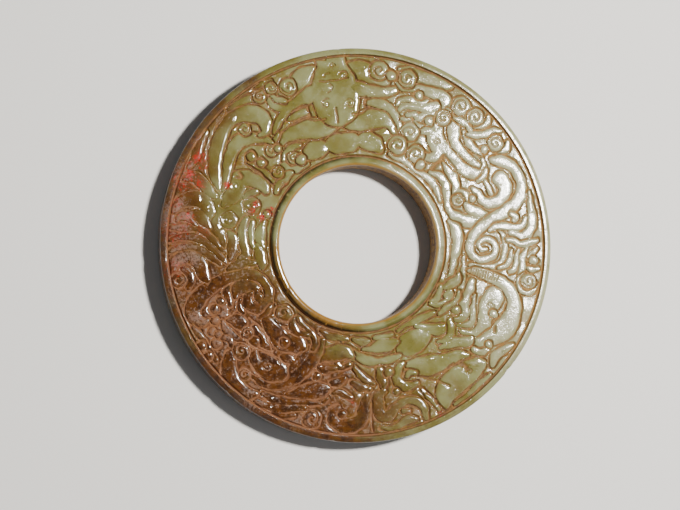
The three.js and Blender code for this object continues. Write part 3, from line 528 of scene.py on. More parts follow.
# Incised lines: points of degrees and share of the band, then width and depth as a share of the relief.
INCISED_LINES = (
    (((119.8, 0.485), (115, 0.478), (110.8, 0.488), (110.6, 0.54), (110.8, 0.588), (116.5, 0.583)), 0.5, 0.85),
    (((86.8, 0.5), (87.1, 0.54), (86.8, 0.585)), 0.5, 0.7),
    (((101.4, 0.64), (100.2, 0.655), (99.4, 0.69), (100.1, 0.71)), 0.3, 0.35),
    (((96.2, 0.79), (95.2, 0.81), (94, 0.8), (93.8, 0.775), (94.8, 0.765)), 0.3, 0.4),
    (((101.6, 0.775), (101, 0.8), (99.8, 0.8)), 0.3, 0.35),
    (((103.5, 0.745), (101.2, 0.738), (98.7, 0.735), (96, 0.74), (93.5, 0.748)), 0.4, 0.5),
    (((99.3, 0.50), (99.3, 0.44), (99.3, 0.38)), 0.3, 0.5),
    (((102.8, 0.935), (101.4, 0.922), (100.2, 0.918)), 0.4, 0.5),
    (((104.8, 0.43), (107, 0.425), (109.6, 0.44), (112, 0.475)), 0.4, 0.5),
    (((92.4, 0.44), (90, 0.435), (87.6, 0.455), (86, 0.485)), 0.4, 0.5),
    (((144.9, 0.5), (144.7, 0.4), (145.2, 0.3), (145.6, 0.21)), 0.45, 0.9),
    (((141.6, 0.545), (139.6, 0.525), (139, 0.49), (139.9, 0.465)), 0.4, 0.7),
    (((140.4, 0.435), (138.8, 0.405), (138.9, 0.37), (140.2, 0.355)), 0.4, 0.7),
    (((151.9, 0.5), (150.9, 0.465), (149.8, 0.495)), 0.7, 0.8),
    (((45.6, 0.24), (45.4, 0.32), (45.8, 0.395)), 0.8, 0.9),
    (((44.6, 0.4), (41, 0.395), (37.2, 0.397)), 0.5, 0.6),
    (((303.4, 0.755), (301.4, 0.69), (299, 0.63), (296.6, 0.585)), 0.4, 0.5),
    (((309.4, 0.62), (305, 0.635), (300, 0.63)), 0.35, 0.35),
    (((311.6, 0.735), (311.9, 0.7), (311.2, 0.68)), 0.8, 0.6),
    (((297.9, 0.925), (297.2, 0.85), (296.6, 0.78), (295.3, 0.72)), 0.5, 0.8),
    (((274.6, 0.905), (274.5, 0.8), (275, 0.68)), 0.55, 0.85),
    (((338.8, 0.7), (336.4, 0.712)), 0.45, 0.6),
    (((329.4, 0.7), (328.2, 0.715)), 0.7, 0.6),
    (((229.9, 0.6), (228.4, 0.6), (226.9, 0.572)), 0.35, 0.5),
    (((236.6, 0.535), (233.6, 0.52), (230.8, 0.535)), 0.3, 0.3),
    (((232.8, 0.505), (229, 0.535), (224.6, 0.562), (219.4, 0.578)), 0.45, 0.8),
    (((231.6, 0.495), (228.4, 0.455), (224.8, 0.412), (219.6, 0.415), (214.6, 0.445)), 0.45, 0.8),
    (((236.6, 0.265), (232.4, 0.285), (228, 0.282)), 0.35, 0.5),
    (((227.9, 0.205), (225.2, 0.242), (221.4, 0.262)), 0.35, 0.5),
)

CREATURES = (
    FRONTAL_BEAST,
    RIGHT_DRAGON,
    TAIL_SCROLLS,
    LOWER_RIGHT_DRAGON,
    LOWER_DRAGON,
    RUSSET_DRAGON,
    LEFT_DRAGON,
)

# A comb of short cuts across the back of the lower right dragon: first and last degree, first and last
# share of the band, and how many cuts.
COMB = (345.9, 348.6, 0.32, 0.56, 12)
COMB_CUT = (0.28, 0.35)

# Where the stone is stained, and where sheen and shade are painted on it: degrees, share of the band, reach in
# millimetres and strength.
RUSSET_PLACES = (
    (232, 0.55, 15, 1.0), (215, 0.6, 13, 1.0), (247, 0.62, 12, 1.0), (258, 0.85, 9, 0.9),
    (200, 0.72, 12, 0.9), (190, 0.9, 11, 0.8), (262, 0.5, 8, 0.7), (243, 0.95, 12, 1.0),
    (222, 0.95, 12, 1.0), (205, 0.3, 7, 0.6), (180, 0.95, 9, 0.7), (272, 0.75, 7, 0.55),
    (281, 0.5, 5, 0.4), (268, 0.95, 8, 0.8), (166, 0.93, 8, 0.6), (246, 0.2, 7, 0.55),
)
CINNABAR_PLACES = (
    (156.4, 0.541, 1.6, 1.0), (165.3, 0.183, 1.5, 1.0), (159.5, 0.256, 1.4, 1.0), (160, 0.12, 1.8, 0.9),
    (163.3, 0.273, 1.4, 0.9), (152.9, 0.866, 1.6, 1.0), (158, 0.863, 1.8, 1.0), (160, 0.92, 6, 0.7),
    (175, 0.88, 7, 0.65), (188, 0.9, 5, 0.6), (148, 0.95, 4, 0.55), (148, 0.6, 4, 0.35),
    (142, 0.12, 2.0, 0.6), (152, 0.84, 2.6, 0.9), (154, 0.79, 2.0, 0.8), (155, 0.90, 2.0, 0.7),
    (160, 0.76, 2.4, 0.8), (172, 0.78, 2.6, 0.8), (176, 0.65, 3.2, 0.6), (180, 0.85, 3.4, 0.6),
    (168, 0.9, 2.6, 0.7), (268, 0.66, 2.0, 0.7), (296, 0.92, 1.4, 0.8), (287, 0.8, 1.4, 0.6),
    (231, 0.93, 2.2, 0.35), (206, 0.86, 3.0, 0.4),
)
# Brown olive over the left half, the side away from the key light: partly the stone's browner tone, partly painted
# shade. The places on the outer rim at the upper left paint its rounding darker where it turns from the light.
TAN_AND_SHADE_PLACES = (
    (128, 0.9, 8, 0.4), (146, 0.9, 8, 0.6), (158, 0.9, 9, 0.9), (170, 0.85, 10, 1.0), (150, 0.5, 12, 0.35),
    (166, 0.45, 11, 0.45), (182, 0.75, 12, 1.0), (194, 0.6, 15, 1.0),
    (212, 0.6, 18, 1.0), (235, 0.6, 18, 1.0), (256, 0.65, 15, 1.0), (274, 0.7, 12, 0.85), (288, 0.75, 11, 0.6),
    (302, 0.85, 9, 0.35), (262, 0.2, 8, 0.5), (196, 0.05, 8, 0.7), (215, 0.05, 9, 0.9), (242, 0.05, 9, 0.8),
    (125, 1.0, 6, 0.7), (138, 1.0, 7, 1.0), (150, 1.0, 7, 1.0), (108, 1.0, 5, 0.3),
)
CRUST_PLACES = (
    (211, 0.72, 7, 1.0), (206, 0.84, 5, 0.9), (184, 0.8, 7, 0.9), (172, 0.9, 7, 0.95), (158, 0.93, 5, 0.9),
    (190, 0.4, 6, 0.7),
    (84, 0.83, 1.8, 0.9), (124, 0.85, 2.2, 0.9), (255, 0.86, 2.6, 0.9), (236, 0.93, 6, 0.8),
    (250, 0.92, 5, 0.7), (196, 0.93, 5, 0.7),
)
# Where the right side is painted paler and whitish: partly paler stone, partly a painted sheen of the key light, which
# stands on that side.
PALE_AND_SHEEN_PLACES = (
    (2, 0.6, 16, 1.0), (22, 0.65, 16, 1.0), (42, 0.6, 14, 0.95), (344, 0.7, 14, 0.85), (58, 0.6, 11, 0.6),
    (5, 0.0, 10, 0.8), (330, 0.8, 10, 0.6), (75, 0.7, 8, 0.3),
    (50, 0.05, 9, 0.9), (25, 0.05, 9, 0.9),
)
# Where the carving is worn low: degrees, share of the band, reach in millimetres and strength.
WORN_PLACES = (
    (164, 0.5, 9, 1.0), (172, 0.7, 9, 1.0), (158, 0.8, 7, 0.8), (184, 0.6, 9, 0.9), (188, 0.3, 6, 0.7),
    (170, 0.25, 6, 0.6), (152, 0.92, 5, 0.8), (322, 0.45, 7, 0.5), (300, 0.3, 6, 0.5), (70, 0.5, 7, 0.4),
)
# Nicks in the rims: degrees, share of the band, reach and depth in millimetres.
NICKS = (
    (320.6, 1.0, 1.3, 0.30), (323.2, 1.0, 0.8, 0.16), (148.0, 1.0, 1.6, 0.14), (183.5, 1.0, 1.5, 0.18),
    (199.0, 1.0, 1.1, 0.16), (228.0, 1.0, 1.5, 0.16), (262.5, 1.0, 1.2, 0.14), (96.0, 1.0, 1.0, 0.10),
    (212.0, 0.0, 0.9, 0.14), (41.0, 0.0, 0.8, 0.14), (290.0, 0.0, 0.8, 0.10),
)

# Figures of the carving's shape, as shares of the relief unless a unit is given
DRAWN_START, DRAWN_END, DRAWN_WIDTH = 0.07, 0.95, 23.7
GROUND = 0.84
SHOULDER = 0.6
GROOVE_TOP = 0.95
CROWN = 0.13
ROUND_STEPS = 8
STEPS_PER_SPAN = 6
CURL_TURNS = 1.1
SLOPE_STEP = 0.05
CURL_START, CURL_TIGHTENS = 0.78, 0.62
CURL_CUT_DEPTH = 0.42
CURL_CUT_WIDTH = 0.36
SPIRAL_STEPS = 36
ROUNDEL_DEPTH = 0.3
PLAIN_BOSS_RADIUS = 1.25
WEAR_SHARE = 0.6
BACK_CLOUDS = 10
BACK_CLOUD_WIDTH = 2.6
CLOUD_MIDDLE = 0.51
# Half a cloud: how far each point lies from its middle along the ring, as a share of the step from cloud
# to cloud, and across the band, and how much of the full width the ribbon has there
HALF_CLOUD = ((0, 0, 1), (0.36, 0.06, 1), (0.3, 0.26, 1), (-0.02, 0.17, 0.6))


def smooth(t):
    """An even step from 0 to 1."""
    t = np.clip(t, 0, 1)
    return t * t * (3 - 2 * t)


def undulation(x, y, size, seed):
    """A gentle, uneven swell between about -1 and 1, with humps of the given size."""
    draw = np.random.default_rng(seed)
    total = np.zeros_like(x)
    waves = 14
    for _ in range(waves):
        heading = draw.uniform(0, 2 * math.pi)
        pitch = 2 * math.pi / (size * draw.uniform(0.7, 1.6))
        total += np.sin((x * math.cos(heading) + y * math.sin(heading)) * pitch + draw.uniform(0, 2 * math.pi))
    return total / math.sqrt(waves)


class Field:
    """A carved field between two rims, all in millimetres, with the places where its height is wanted."""

    def __init__(self, inner, outer, x, y, sizes):
        self.inner = inner
        self.outer = outer
        self.radius = np.hypot(x, y)
        waver = sizes.waver / MM
        self.x = x + waver * undulation(x, y, 2.6, 21)
        self.y = y + waver * undulation(x, y, 2.6, 22)
        self.height = GROUND + 0.05 * undulation(x, y, 5, 23)
        self.floor = np.clip(0.16 + 0.14 * undulation(x, y, 4.5, 24), 0, 0.5)
        self.groove = sizes.groove_width / MM * np.clip(1 + 0.3 * undulation(x, y, 3.5, 25), 0.6, 1.6)
        self.rounding = sizes.rounding / MM
        self.scale = (outer - inner) / DRAWN_WIDTH

    def place(self, degrees, share):
        along = (share - DRAWN_START) / (DRAWN_END - DRAWN_START)
        radius = self.inner + (self.outer - self.inner) * along
        angle = math.radians(degrees)
        return radius * math.cos(angle), radius * math.sin(angle)

    def route(self, points):
        """A smooth curve through points of degrees, share and width: rows of x, y and width."""
        knots = np.array([(*self.place(d, s), w * self.scale) for d, s, w in points])
        knots = np.vstack([2 * knots[0] - knots[1], knots, 2 * knots[-1] - knots[-2]])
        a, b, c, d = knots[:-3], knots[1:-2], knots[2:-1], knots[3:]
        t = (np.arange(STEPS_PER_SPAN) / STEPS_PER_SPAN)[None, :, None]
        a, b, c, d = (k[:, None, :] for k in (a, b, c, d))
        curve = 0.5 * (
            2 * b + (c - a) * t + (2 * a - 5 * b + 4 * c - d) * t**2 + (3 * b - a - 3 * c + d) * t**3
        )
        return np.vstack([curve.reshape(-1, 3), knots[-2]])

    def near(self, low, high, reach):
        """Which places lie within reach of a box."""
        return np.nonzero(
            (self.x > low[0] - reach)
            & (self.x < high[0] + reach)
            & (self.y > low[1] - reach)
            & (self.y < high[1] + reach)
        )[0]

    def beyond(self, routes):
        """How far each nearby place lies outside the edge of a group of ribbons, and their half width."""
        spans = np.vstack([np.hstack([r[:-1], r[1:]]) for r in routes])
        reach = spans[:, [2, 5]].max() / 2 + 1.2
        ends = np.vstack([spans[:, :2], spans[:, 3:5]])
        here = self.near(ends.min(axis=0), ends.max(axis=0), reach)
        x, y = self.x[here], self.y[here]
        over = np.full(x.shape, reach)
        half = np.ones(x.shape)
        for x0, y0, w0, x1, y1, w1 in spans:
            close = np.nonzero(
                (np.abs(x - (x0 + x1) / 2) < abs(x1 - x0) / 2 + reach)
                & (np.abs(y - (y0 + y1) / 2) < abs(y1 - y0) / 2 + reach)
            )[0]
            dx, dy = x1 - x0, y1 - y0
            px, py = x[close] - x0, y[close] - y0
            t = np.clip((px * dx + py * dy) / max(dx * dx + dy * dy, 1e-9), 0, 1)
            h = np.maximum((w0 + (w1 - w0) * t) / 2, 0.2)
            edge = np.hypot(px - t * dx, py - t * dy) - h
            closer = edge < over[close]
            over[close[closer]] = edge[closer]
            half[close[closer]] = h[closer]
        return here, over, half

    def lay(self, here, over, half):
        """Lays a form over what is there: a narrow groove round it, then its rounded top."""
        floor = self.floor[here]
        beside = floor + (GROOVE_TOP - floor) * smooth((over - 0.05) / self.groove[here])
        beside = np.minimum(self.height[here], beside)
        rise = np.clip(-over / np.minimum(half, self.rounding), 0, 1)
        swell = np.clip(-over / half, 0, 1)
        top = SHOULDER + (1 - SHOULDER - CROWN) * np.sqrt(1 - (1 - rise) ** 2)
        top += CROWN * np.sqrt(1 - (1 - swell) ** 2)
        self.height[here] = np.where(over > 0, beside, top)

    def layer(self, ribbons):
        self.lay(*self.beyond([self.route(points) for points in ribbons]))

    def cut(self, route, depth, only=None):
        """Cuts a line along a route, its depth a share of the relief."""
        here, over, half = self.beyond([route])
        off = over + half
        share = 1 - depth * (1 - smooth(off / (2 * half)))
        if only is not None:
            share = np.where(only(self.x[here], self.y[here]), share, 1)
        self.height[here] *= share

    def curl(self, degrees, share, radius, hand, start):
        """A round boss, with a spiral groove where it is large enough to take one."""
        cx, cy = self.place(degrees, share)
        wide = radius * self.scale
        here = self.near((cx, cy), (cx, cy), wide + 1.2)
        self.lay(here, np.hypot(self.x[here] - cx, self.y[here] - cy) - wide, np.full(here.shape, wide))
        if radius <= PLAIN_BOSS_RADIUS:
            return
        self.spiral(degrees, share, radius, hand or 1, start, CURL_CUT_DEPTH)

    def spiral(self, degrees, share, radius, hand, start, depth):
        """Cuts a spiral groove within a circle."""
        cx, cy = self.place(degrees, share)
        wide = radius * self.scale
        turn = np.linspace(0, 1, SPIRAL_STEPS)
        reach = wide * (CURL_START - CURL_TIGHTENS * turn)
        angle = math.radians(start) + hand * turn * CURL_TURNS * 2 * math.pi
        route = np.column_stack(
            [cx + reach * np.cos(angle), cy + reach * np.sin(angle), np.full(turn.shape, CURL_CUT_WIDTH)]
        )
        self.cut(route, depth, lambda x, y: np.hypot(x - cx, y - cy) < wide)

    def border(self):
        """The grooves where the field meets its rims."""
        edge = np.minimum(self.radius - self.inner, self.outer - self.radius)
        self.height = np.minimum(self.height, smooth((edge - 0.3) / 0.5) + smooth((0.18 - edge) / 0.25))


def carve_face(x, y, inner, outer, sizes):
    """The height of the face's relief at each place, as a share of its full depth."""
    field = Field(inner, outer, x, y, sizes)
    for creature in CREATURES:
        for ribbons in creature:
            field.layer(ribbons)
    for curl in CURLS:
        field.curl(*curl)
    for roundel in ROUNDELS:
        field.spiral(*roundel, ROUNDEL_DEPTH)
    for points, width, depth in INCISED_LINES:
        field.cut(field.route([(d, s, width) for d, s in points]), depth)
    first, last, low, high, count = COMB
    width, depth = COMB_CUT
    for share in np.linspace(low, high, count):
        field.cut(field.route([(first, share, width), (last, share + 0.004, width)]), depth)
    field.border()
    return field.height


def cloud(index):
    """One cloud of the back: an S that winds back on itself at either end."""
    step = 360 / BACK_CLOUDS
    half = [
        [
            ((index + side * along) * step, CLOUD_MIDDLE + side * across, BACK_CLOUD_WIDTH * breadth)
            for along, across, breadth in HALF_CLOUD
        ]
        for side in (-1, 1)
    ]
    return half[0][::-1] + half[1][1:]


def carve_back(x, y, inner, outer, sizes):
    """The height of the back's relief at each place, as a share of its full depth."""
    field = Field(inner, outer, x, y, sizes)
    for i in range(BACK_CLOUDS):
        field.layer([cloud(i)])
    field.border()
    return field.height


def soft_patches(x, y, places):
    """How strongly each place lies in a few round patches with soft edges, used for stains, wear, painted sheen and
    painted shade.
    """
    total = np.zeros_like(x)
    band = (DISC_RADIUS - HOLE_RADIUS) / MM
    for degrees, share, reach, strength in places:
        radius = HOLE_RADIUS / MM + band * share
        cx, cy = radius * math.cos(math.radians(degrees)), radius * math.sin(math.radians(degrees))
        away = np.hypot(x - cx, y - cy) / reach
        total = np.maximum(total, strength * smooth(1.25 - away))
    return total


class DiscSizes(bpy.types.PropertyGroup):
    """Sizes of the carved disc."""

    outer_rim: FloatProperty(
        name="Outer rim", description="Width of the plain rim at the outer edge", default=1.4 * MM, unit="LENGTH"
    )
    inner_rim: FloatProperty(
        name="Inner rim", description="Width of the plain rim round the hole", default=1.9 * MM, unit="LENGTH"
    )
    back_outer_rim: FloatProperty(
        name="Back outer rim", description="Width of the back's outer rim", default=2.4 * MM, unit="LENGTH"
    )
    back_inner_rim: FloatProperty(
        name="Back inner rim", description="Width of the back's rim round the hole", default=2.8 * MM, unit="LENGTH"
    )
    relief: FloatProperty(
        name="Relief", description="Depth of the deepest groove under the face's rims", default=0.80 * MM, unit="LENGTH"
    )
    below_rim: FloatProperty(
        name="Below rim", description="How far the carving's tops lie under the rims", default=0.08 * MM, unit="LENGTH"
    )
    back_relief: FloatProperty(
        name="Back relief", description="Depth of the grooves of the back", default=0.55 * MM, unit="LENGTH"
    )
    groove_width: FloatProperty(
        name="Groove", description="Width of the groove beside each form", default=0.55 * MM, unit="LENGTH"
    )
    rounding: FloatProperty(
        name="Rounding", description="How far in from its edge a form is rounded", default=0.95 * MM, unit="LENGTH"
    )
    waver: FloatProperty(
        name="Waver", description="How far the carver's lines stray from the drawn ones", default=0.09 * MM,
        unit="LENGTH",
    )
    edge_width: FloatProperty(
        name="Edge width", description="How far in from the disc's edge its rounding starts", default=1.1 * MM,
        unit="LENGTH",
    )
    edge_drop: FloatProperty(
        name="Edge drop", description="How far down the disc's wall its rounding ends", default=0.55 * MM,
        unit="LENGTH",
    )
    hole_round: FloatProperty(
        name="Hole round", description="Radius of the hole's rounded edges", default=0.85 * MM, unit="LENGTH"
    )
    wear: FloatProperty(
        name="Wear", description="Height of the swells that polish and age have left", default=0.03 * MM, unit="LENGTH"
    )
    turns: IntProperty(name="Turns", description="Steps round the disc before it is thinned", default=1440)
    rows: IntProperty(name="Rows", description="Steps across the carved face before it is thinned", default=150)
    triangles: IntProperty(name="Triangles", description="Triangles left when it is thinned", default=190000)


class StoneColours(bpy.types.PropertyGroup):
    """Colours of the stone and of what has settled on it."""

    olive: FloatVectorProperty(
        name="Olive", description="Body colour of the jade", subtype="COLOR", default=(0.125, 0.112, 0.024)
    )
    celadon: FloatVectorProperty(
        name="Celadon", description="Paler jade of the polished tops", subtype="COLOR", default=(0.195, 0.200, 0.085)
    )
    # Whitish tone of the right side: partly paler stone, partly a painted sheen of the key light.
    pale: FloatVectorProperty(
        name="Pale", description="Whitish bloom of the paler side", subtype="COLOR", default=(0.40, 0.40, 0.26)
    )
    amber: FloatVectorProperty(
        name="Amber", description="Jade that shows warmer down the sides of the cuts", subtype="COLOR", default=(0.160, 0.094, 0.012)
    )
    # Brown olive of the left half: partly the stone's tone, partly painted shade on the side away from the key light.
    tan: FloatVectorProperty(
        name="Tan", description="Brown olive that leads over to the stained side", subtype="COLOR", default=(0.072, 0.026, 0.003)
    )
    russet: FloatVectorProperty(
        name="Russet", description="Brown skin of the stained side", subtype="COLOR", default=(0.082, 0.024, 0.001)
    )
    umber: FloatVectorProperty(
        name="Umber", description="Darkest brown of the stained side", subtype="COLOR", default=(0.026, 0.007, 0.001)
    )
    earth: FloatVectorProperty(
        name="Earth", description="Orange earth in the grooves", subtype="COLOR", default=(0.190, 0.082, 0.010)
    )
    dark_earth: FloatVectorProperty(
        name="Dark earth", description="Browner earth in the grooves", subtype="COLOR", default=(0.110, 0.042, 0.006)
    )
    pink_earth: FloatVectorProperty(
        name="Pink earth", description="Earth in the grooves of the stained side", subtype="COLOR", default=(0.185, 0.070, 0.020)
    )
    cinnabar: FloatVectorProperty(
        name="Cinnabar", description="Red specks of cinnabar", subtype="COLOR", default=(0.40, 0.008, 0.005)
    )
    brick: FloatVectorProperty(
        name="Brick", description="Reddish dust round the specks of cinnabar", subtype="COLOR",
        default=(0.165, 0.032, 0.016),
    )
    # Dark slate laid on the outer rim only on the left side: partly wear, partly painted shade of the rim turned from
    # the key light.
    slate_and_shade: FloatVectorProperty(
        name="Slate", description="Purplish grey of the worn rim", subtype="COLOR", default=(0.050, 0.027, 0.018)
    )
    # Black of the hole's wall: partly dark soil flecks, partly painted shade, as the wall seen from the camera lies in
    # shadow.
    black_and_shade: FloatVectorProperty(
        name="Black", description="Black flecks on the hole's wall", subtype="COLOR", default=(0.01, 0.006, 0.004)
    )
    gold: FloatVectorProperty(
        name="Gold", description="Golden brown of the hole's wall and edge", subtype="COLOR",
        default=(0.30, 0.150, 0.022),
    )


class StageSettings(bpy.types.PropertyGroup):
    """The floor, the lights and the camera."""

    floor_colour: FloatVectorProperty(
        name="Floor", description="Colour of the plain floor", subtype="COLOR", default=(0.72, 0.71, 0.69)
    )
    tilt: FloatProperty(
        name="Tilt", description="How far the camera leans from straight above", default=math.radians(10),
        subtype="ANGLE",
    )
    heading: FloatProperty(
        name="Heading", description="The side to which the camera leans", default=math.radians(205), subtype="ANGLE"
    )
    distance: FloatProperty(
        name="Distance", description="From the camera to the disc", default=0.495, unit="LENGTH"
    )
    focal_length: FloatProperty(
        name="Focal length", description="Focal length of the lens in millimetres", default=114.4
    )


def ring_outline(sizes):
    """The points round half a section of the ring, close together where it will be carved."""
    points = []

    def rounded(x, z, wide, drop, turn):
        """A quarter of an ellipse round a centre, from a turn in quarters on to the next."""
        for k in range(ROUND_STEPS + 1):
            angle = math.pi / 2 * (turn - k / ROUND_STEPS)
            points.append(Vector((x + wide * math.cos(angle), 0, z + drop * math.sin(angle))))

    def straight(x, z, steps):
        first = points[-1]
        last = Vector((x, 0, z))
        points.extend(first.lerp(last, k / steps) for k in range(1, steps))

    hole, rim = HOLE_RADIUS + sizes.hole_round, DISC_RADIUS - sizes.edge_width
    inner_face, outer_face = HOLE_RADIUS + sizes.inner_rim, DISC_RADIUS - sizes.outer_rim
    inner_back, outer_back = HOLE_RADIUS + sizes.back_inner_rim, DISC_RADIUS - sizes.back_outer_rim
    rounded(hole, THICKNESS - sizes.hole_round, sizes.hole_round, sizes.hole_round, 2)
    straight(inner_face, THICKNESS, 6)
    points.append(Vector((inner_face, 0, THICKNESS)))
    straight(outer_face, THICKNESS, sizes.rows)
    points.append(Vector((outer_face, 0, THICKNESS)))
    straight(rim, THICKNESS, 3)
    rounded(rim, THICKNESS - sizes.edge_drop, sizes.edge_width, sizes.edge_drop, 1)
    straight(DISC_RADIUS, sizes.edge_drop, 8)
    rounded(rim, sizes.edge_drop, sizes.edge_width, sizes.edge_drop, 0)
    straight(outer_back, 0, 6)
    points.append(Vector((outer_back, 0, 0)))
    straight(inner_back, 0, sizes.rows * 2 // 3)
    points.append(Vector((inner_back, 0, 0)))
    straight(hole, 0, 6)
    rounded(hole, sizes.hole_round, sizes.hole_round, sizes.hole_round, -1)
    straight(HOLE_RADIUS, THICKNESS - sizes.hole_round, 8)
    return points


def ring_profile(bm, sizes):
    """Half of a section through the ring as a closed wire."""
    points = ring_outline(sizes)
    tip = [bm.verts.new(points[0])]
    for here, there in zip(points, points[1:] + points[:1]):
        tip = bmesh.ops.extrude_vert_indiv(bm, verts=tip)["verts"]
        bmesh.ops.translate(bm, verts=tip, vec=there - here)
    bmesh.ops.remove_doubles(bm, verts=bm.verts[:], dist=CLOSE)


def turned_ring(sizes):
    """The plain ring as a mesh, spun from its profile."""
    bm = bmesh.new()
    ring_profile(bm, sizes)
    wedge = 2 * math.pi / 2**DOUBLINGS
    bmesh.ops.spin(
        bm, geom=bm.verts[:] + bm.edges[:], cent=(0, 0, 0), axis=(0, 0, 1), angle=wedge,
        steps=sizes.turns // 2**DOUBLINGS, use_merge=False,
    )
    for _ in range(DOUBLINGS):
        copy = bmesh.ops.duplicate(bm, geom=bm.verts[:] + bm.edges[:] + bm.faces[:])["geom"]
        moved = [part for part in copy if isinstance(part, bmesh.types.BMVert)]
        bmesh.ops.rotate(bm, verts=moved, cent=(0, 0, 0), matrix=Matrix.Rotation(wedge, 3, "Z"))
        wedge *= 2
    bmesh.ops.remove_doubles(bm, verts=[v for v in bm.verts if v.is_boundary], dist=CLOSE)
    bmesh.ops.recalc_face_normals(bm, faces=bm.faces[:])
    mesh = bpy.data.meshes.new("carved_disc")
    bm.to_mesh(mesh)
    bm.free()
    return mesh


def vertex_places(mesh):
    """Every vertex of a mesh, in millimetres."""
    places = np.empty(len(mesh.vertices) * 3)
    mesh.vertices.foreach_get("co", places)
    return places.reshape(-1, 3) / MM


class Side:
    """One carved side of the disc, in millimetres."""

    def __init__(self, sizes, up):
        self.sizes = sizes
        self.up = up
        self.hole, self.rim = HOLE_RADIUS / MM, DISC_RADIUS / MM
        rims = (sizes.inner_rim, sizes.outer_rim) if up else (sizes.back_inner_rim, sizes.back_outer_rim)
        self.inner, self.outer = self.hole + rims[0] / MM, self.rim - rims[1] / MM
        self.relief = (sizes.relief if up else sizes.back_relief) / MM
        self.top = (sizes.below_rim if up else 0) / MM
        self.carving = carve_face if up else carve_back
        self.level = THICKNESS / MM if up else 0

    def depth(self, x, y):
        """How far the surface lies under the level of its rims."""
        radius = np.hypot(x, y)
        depth = np.zeros_like(x)
        field = np.nonzero((radius > self.inner) & (radius < self.outer))[0]
        share = self.carving(x[field], y[field], self.inner, self.outer, self.sizes)
        depth[field] = np.clip((1 - share) * self.relief + np.where(share > 1, 0, self.top), 0, None)
        if self.up:
            depth[field] *= 1 - WEAR_SHARE * soft_patches(x[field], y[field], WORN_PLACES)
        swell = undulation(x, y, 6, 4) + 0.5 * undulation(x, y, 2.2, 9)
        carved = smooth((radius - self.inner) / 2) * smooth((self.outer - radius) / 2)
        return depth + np.clip(swell + 1, 0, None) * carved * self.sizes.wear / MM * 0.5

    def slope(self, x, y):
        """How fast the depth grows towards +X and towards +Y."""
        h = SLOPE_STEP
        across = (self.depth(x + h, y) - self.depth(x - h, y)) / (2 * h)
        along = (self.depth(x, y + h) - self.depth(x, y - h)) / (2 * h)
        return across, along


def nick_centre(degrees, share, up):
    """Where a nick lies, on the upper edge of the hole or of the disc."""
    radius = (HOLE_RADIUS + (DISC_RADIUS - HOLE_RADIUS) * share) / MM
    angle = math.radians(degrees)
    return np.array([radius * math.cos(angle), radius * math.sin(angle), up])


def nick(place):
    """Knocks the nicks out of the rims and tells which vertices they touch."""
    touched = np.zeros(len(place), bool)
    for degrees, share, reach, depth in NICKS:
        centre = nick_centre(degrees, share, THICKNESS / MM)
        away = np.linalg.norm(place - centre, axis=1) / reach
        near = np.nonzero(away < 1)[0]
        uneven = 1 + 0.4 * undulation(place[near, 0], place[near, 1], 0.6, 31)
        push = depth * smooth(1.2 - away[near]) * uneven
        inward = centre[:2] / np.linalg.norm(centre[:2]) * (-1 if share > 0.5 else 1)
        place[near, :2] += inward * push[:, None] * 0.6
        place[near, 2] -= push * 0.8
        touched[near] = True
    return touched


def carve(mesh, sizes):
    """Sinks the carving of both sides into the turned ring and knocks its nicks out."""
    place = vertex_places(mesh)
    for side in (Side(sizes, True), Side(sizes, False)):
        flat = np.nonzero(np.abs(place[:, 2] - side.level) < CLOSE / MM)[0]
        depth = side.depth(place[flat, 0], place[flat, 1])
        place[flat, 2] -= depth if side.up else -depth
    nick(place)
    mesh.vertices.foreach_set("co", (place * MM).ravel())


def true_normals(mesh, sizes):
    """Gives the thinned mesh the exact normals of the carved surface, its rounded edges and its walls."""
    place = vertex_places(mesh)
    x, y, z = place.T
    radius = np.hypot(x, y)
    at_rim = radius > (HOLE_RADIUS + DISC_RADIUS) / MM / 2
    wide = np.where(at_rim, sizes.edge_width, sizes.hole_round) / MM
    drop = np.where(at_rim, sizes.edge_drop, sizes.hole_round) / MM
    hole, rim = HOLE_RADIUS / MM + wide, DISC_RADIUS / MM - wide
    outward = np.where(radius > rim, radius - rim, np.where(radius < hole, radius - hole, 0)) / wide**2
    upward = np.zeros_like(x)
    normal = np.zeros_like(place)
    for side in (Side(sizes, True), Side(sizes, False)):
        sign = 1 if side.up else -1
        reach = (z - side.level) * sign + drop
        upward = np.where((outward != 0) & (reach > 0), sign * reach / drop**2, upward)
        flat = np.nonzero((outward == 0) & ((z > THICKNESS / MM / 2) == side.up))[0]
        across, along = side.slope(x[flat], y[flat])
        normal[flat] = np.column_stack([across, along, np.full(flat.shape, sign)])
    turned = np.nonzero(outward)[0]
    out = np.column_stack([x, y])[turned] / radius[turned, None] * outward[turned, None]
    normal[turned] = np.column_stack([out, upward[turned]])
    normal /= np.linalg.norm(normal, axis=1)[:, None]
    own = np.empty(normal.size)
    mesh.vertex_normals.foreach_get("vector", own)
    normal = np.where(nick(place)[:, None], own.reshape(-1, 3), normal)
    mesh.normals_split_custom_set_from_vertices(normal.tolist())


def thin_out(piece, triangles):
    """Thins a dense mesh where it is flat."""
    modifier = piece.modifiers.new("Thin out", "DECIMATE")
    modifier.ratio = triangles / sum(len(face.vertices) - 2 for face in piece.data.polygons)
    with bpy.context.temp_override(object=piece, active_object=piece, selected_objects=[piece]):
        bpy.ops.object.modifier_apply(modifier=modifier.name)


def note(mesh, name, values):
    """Keeps a number for each vertex, for the stone's material to read."""
    mesh.attributes.new(name, "FLOAT", "POINT").data.foreach_set("value", values.astype(np.float32))


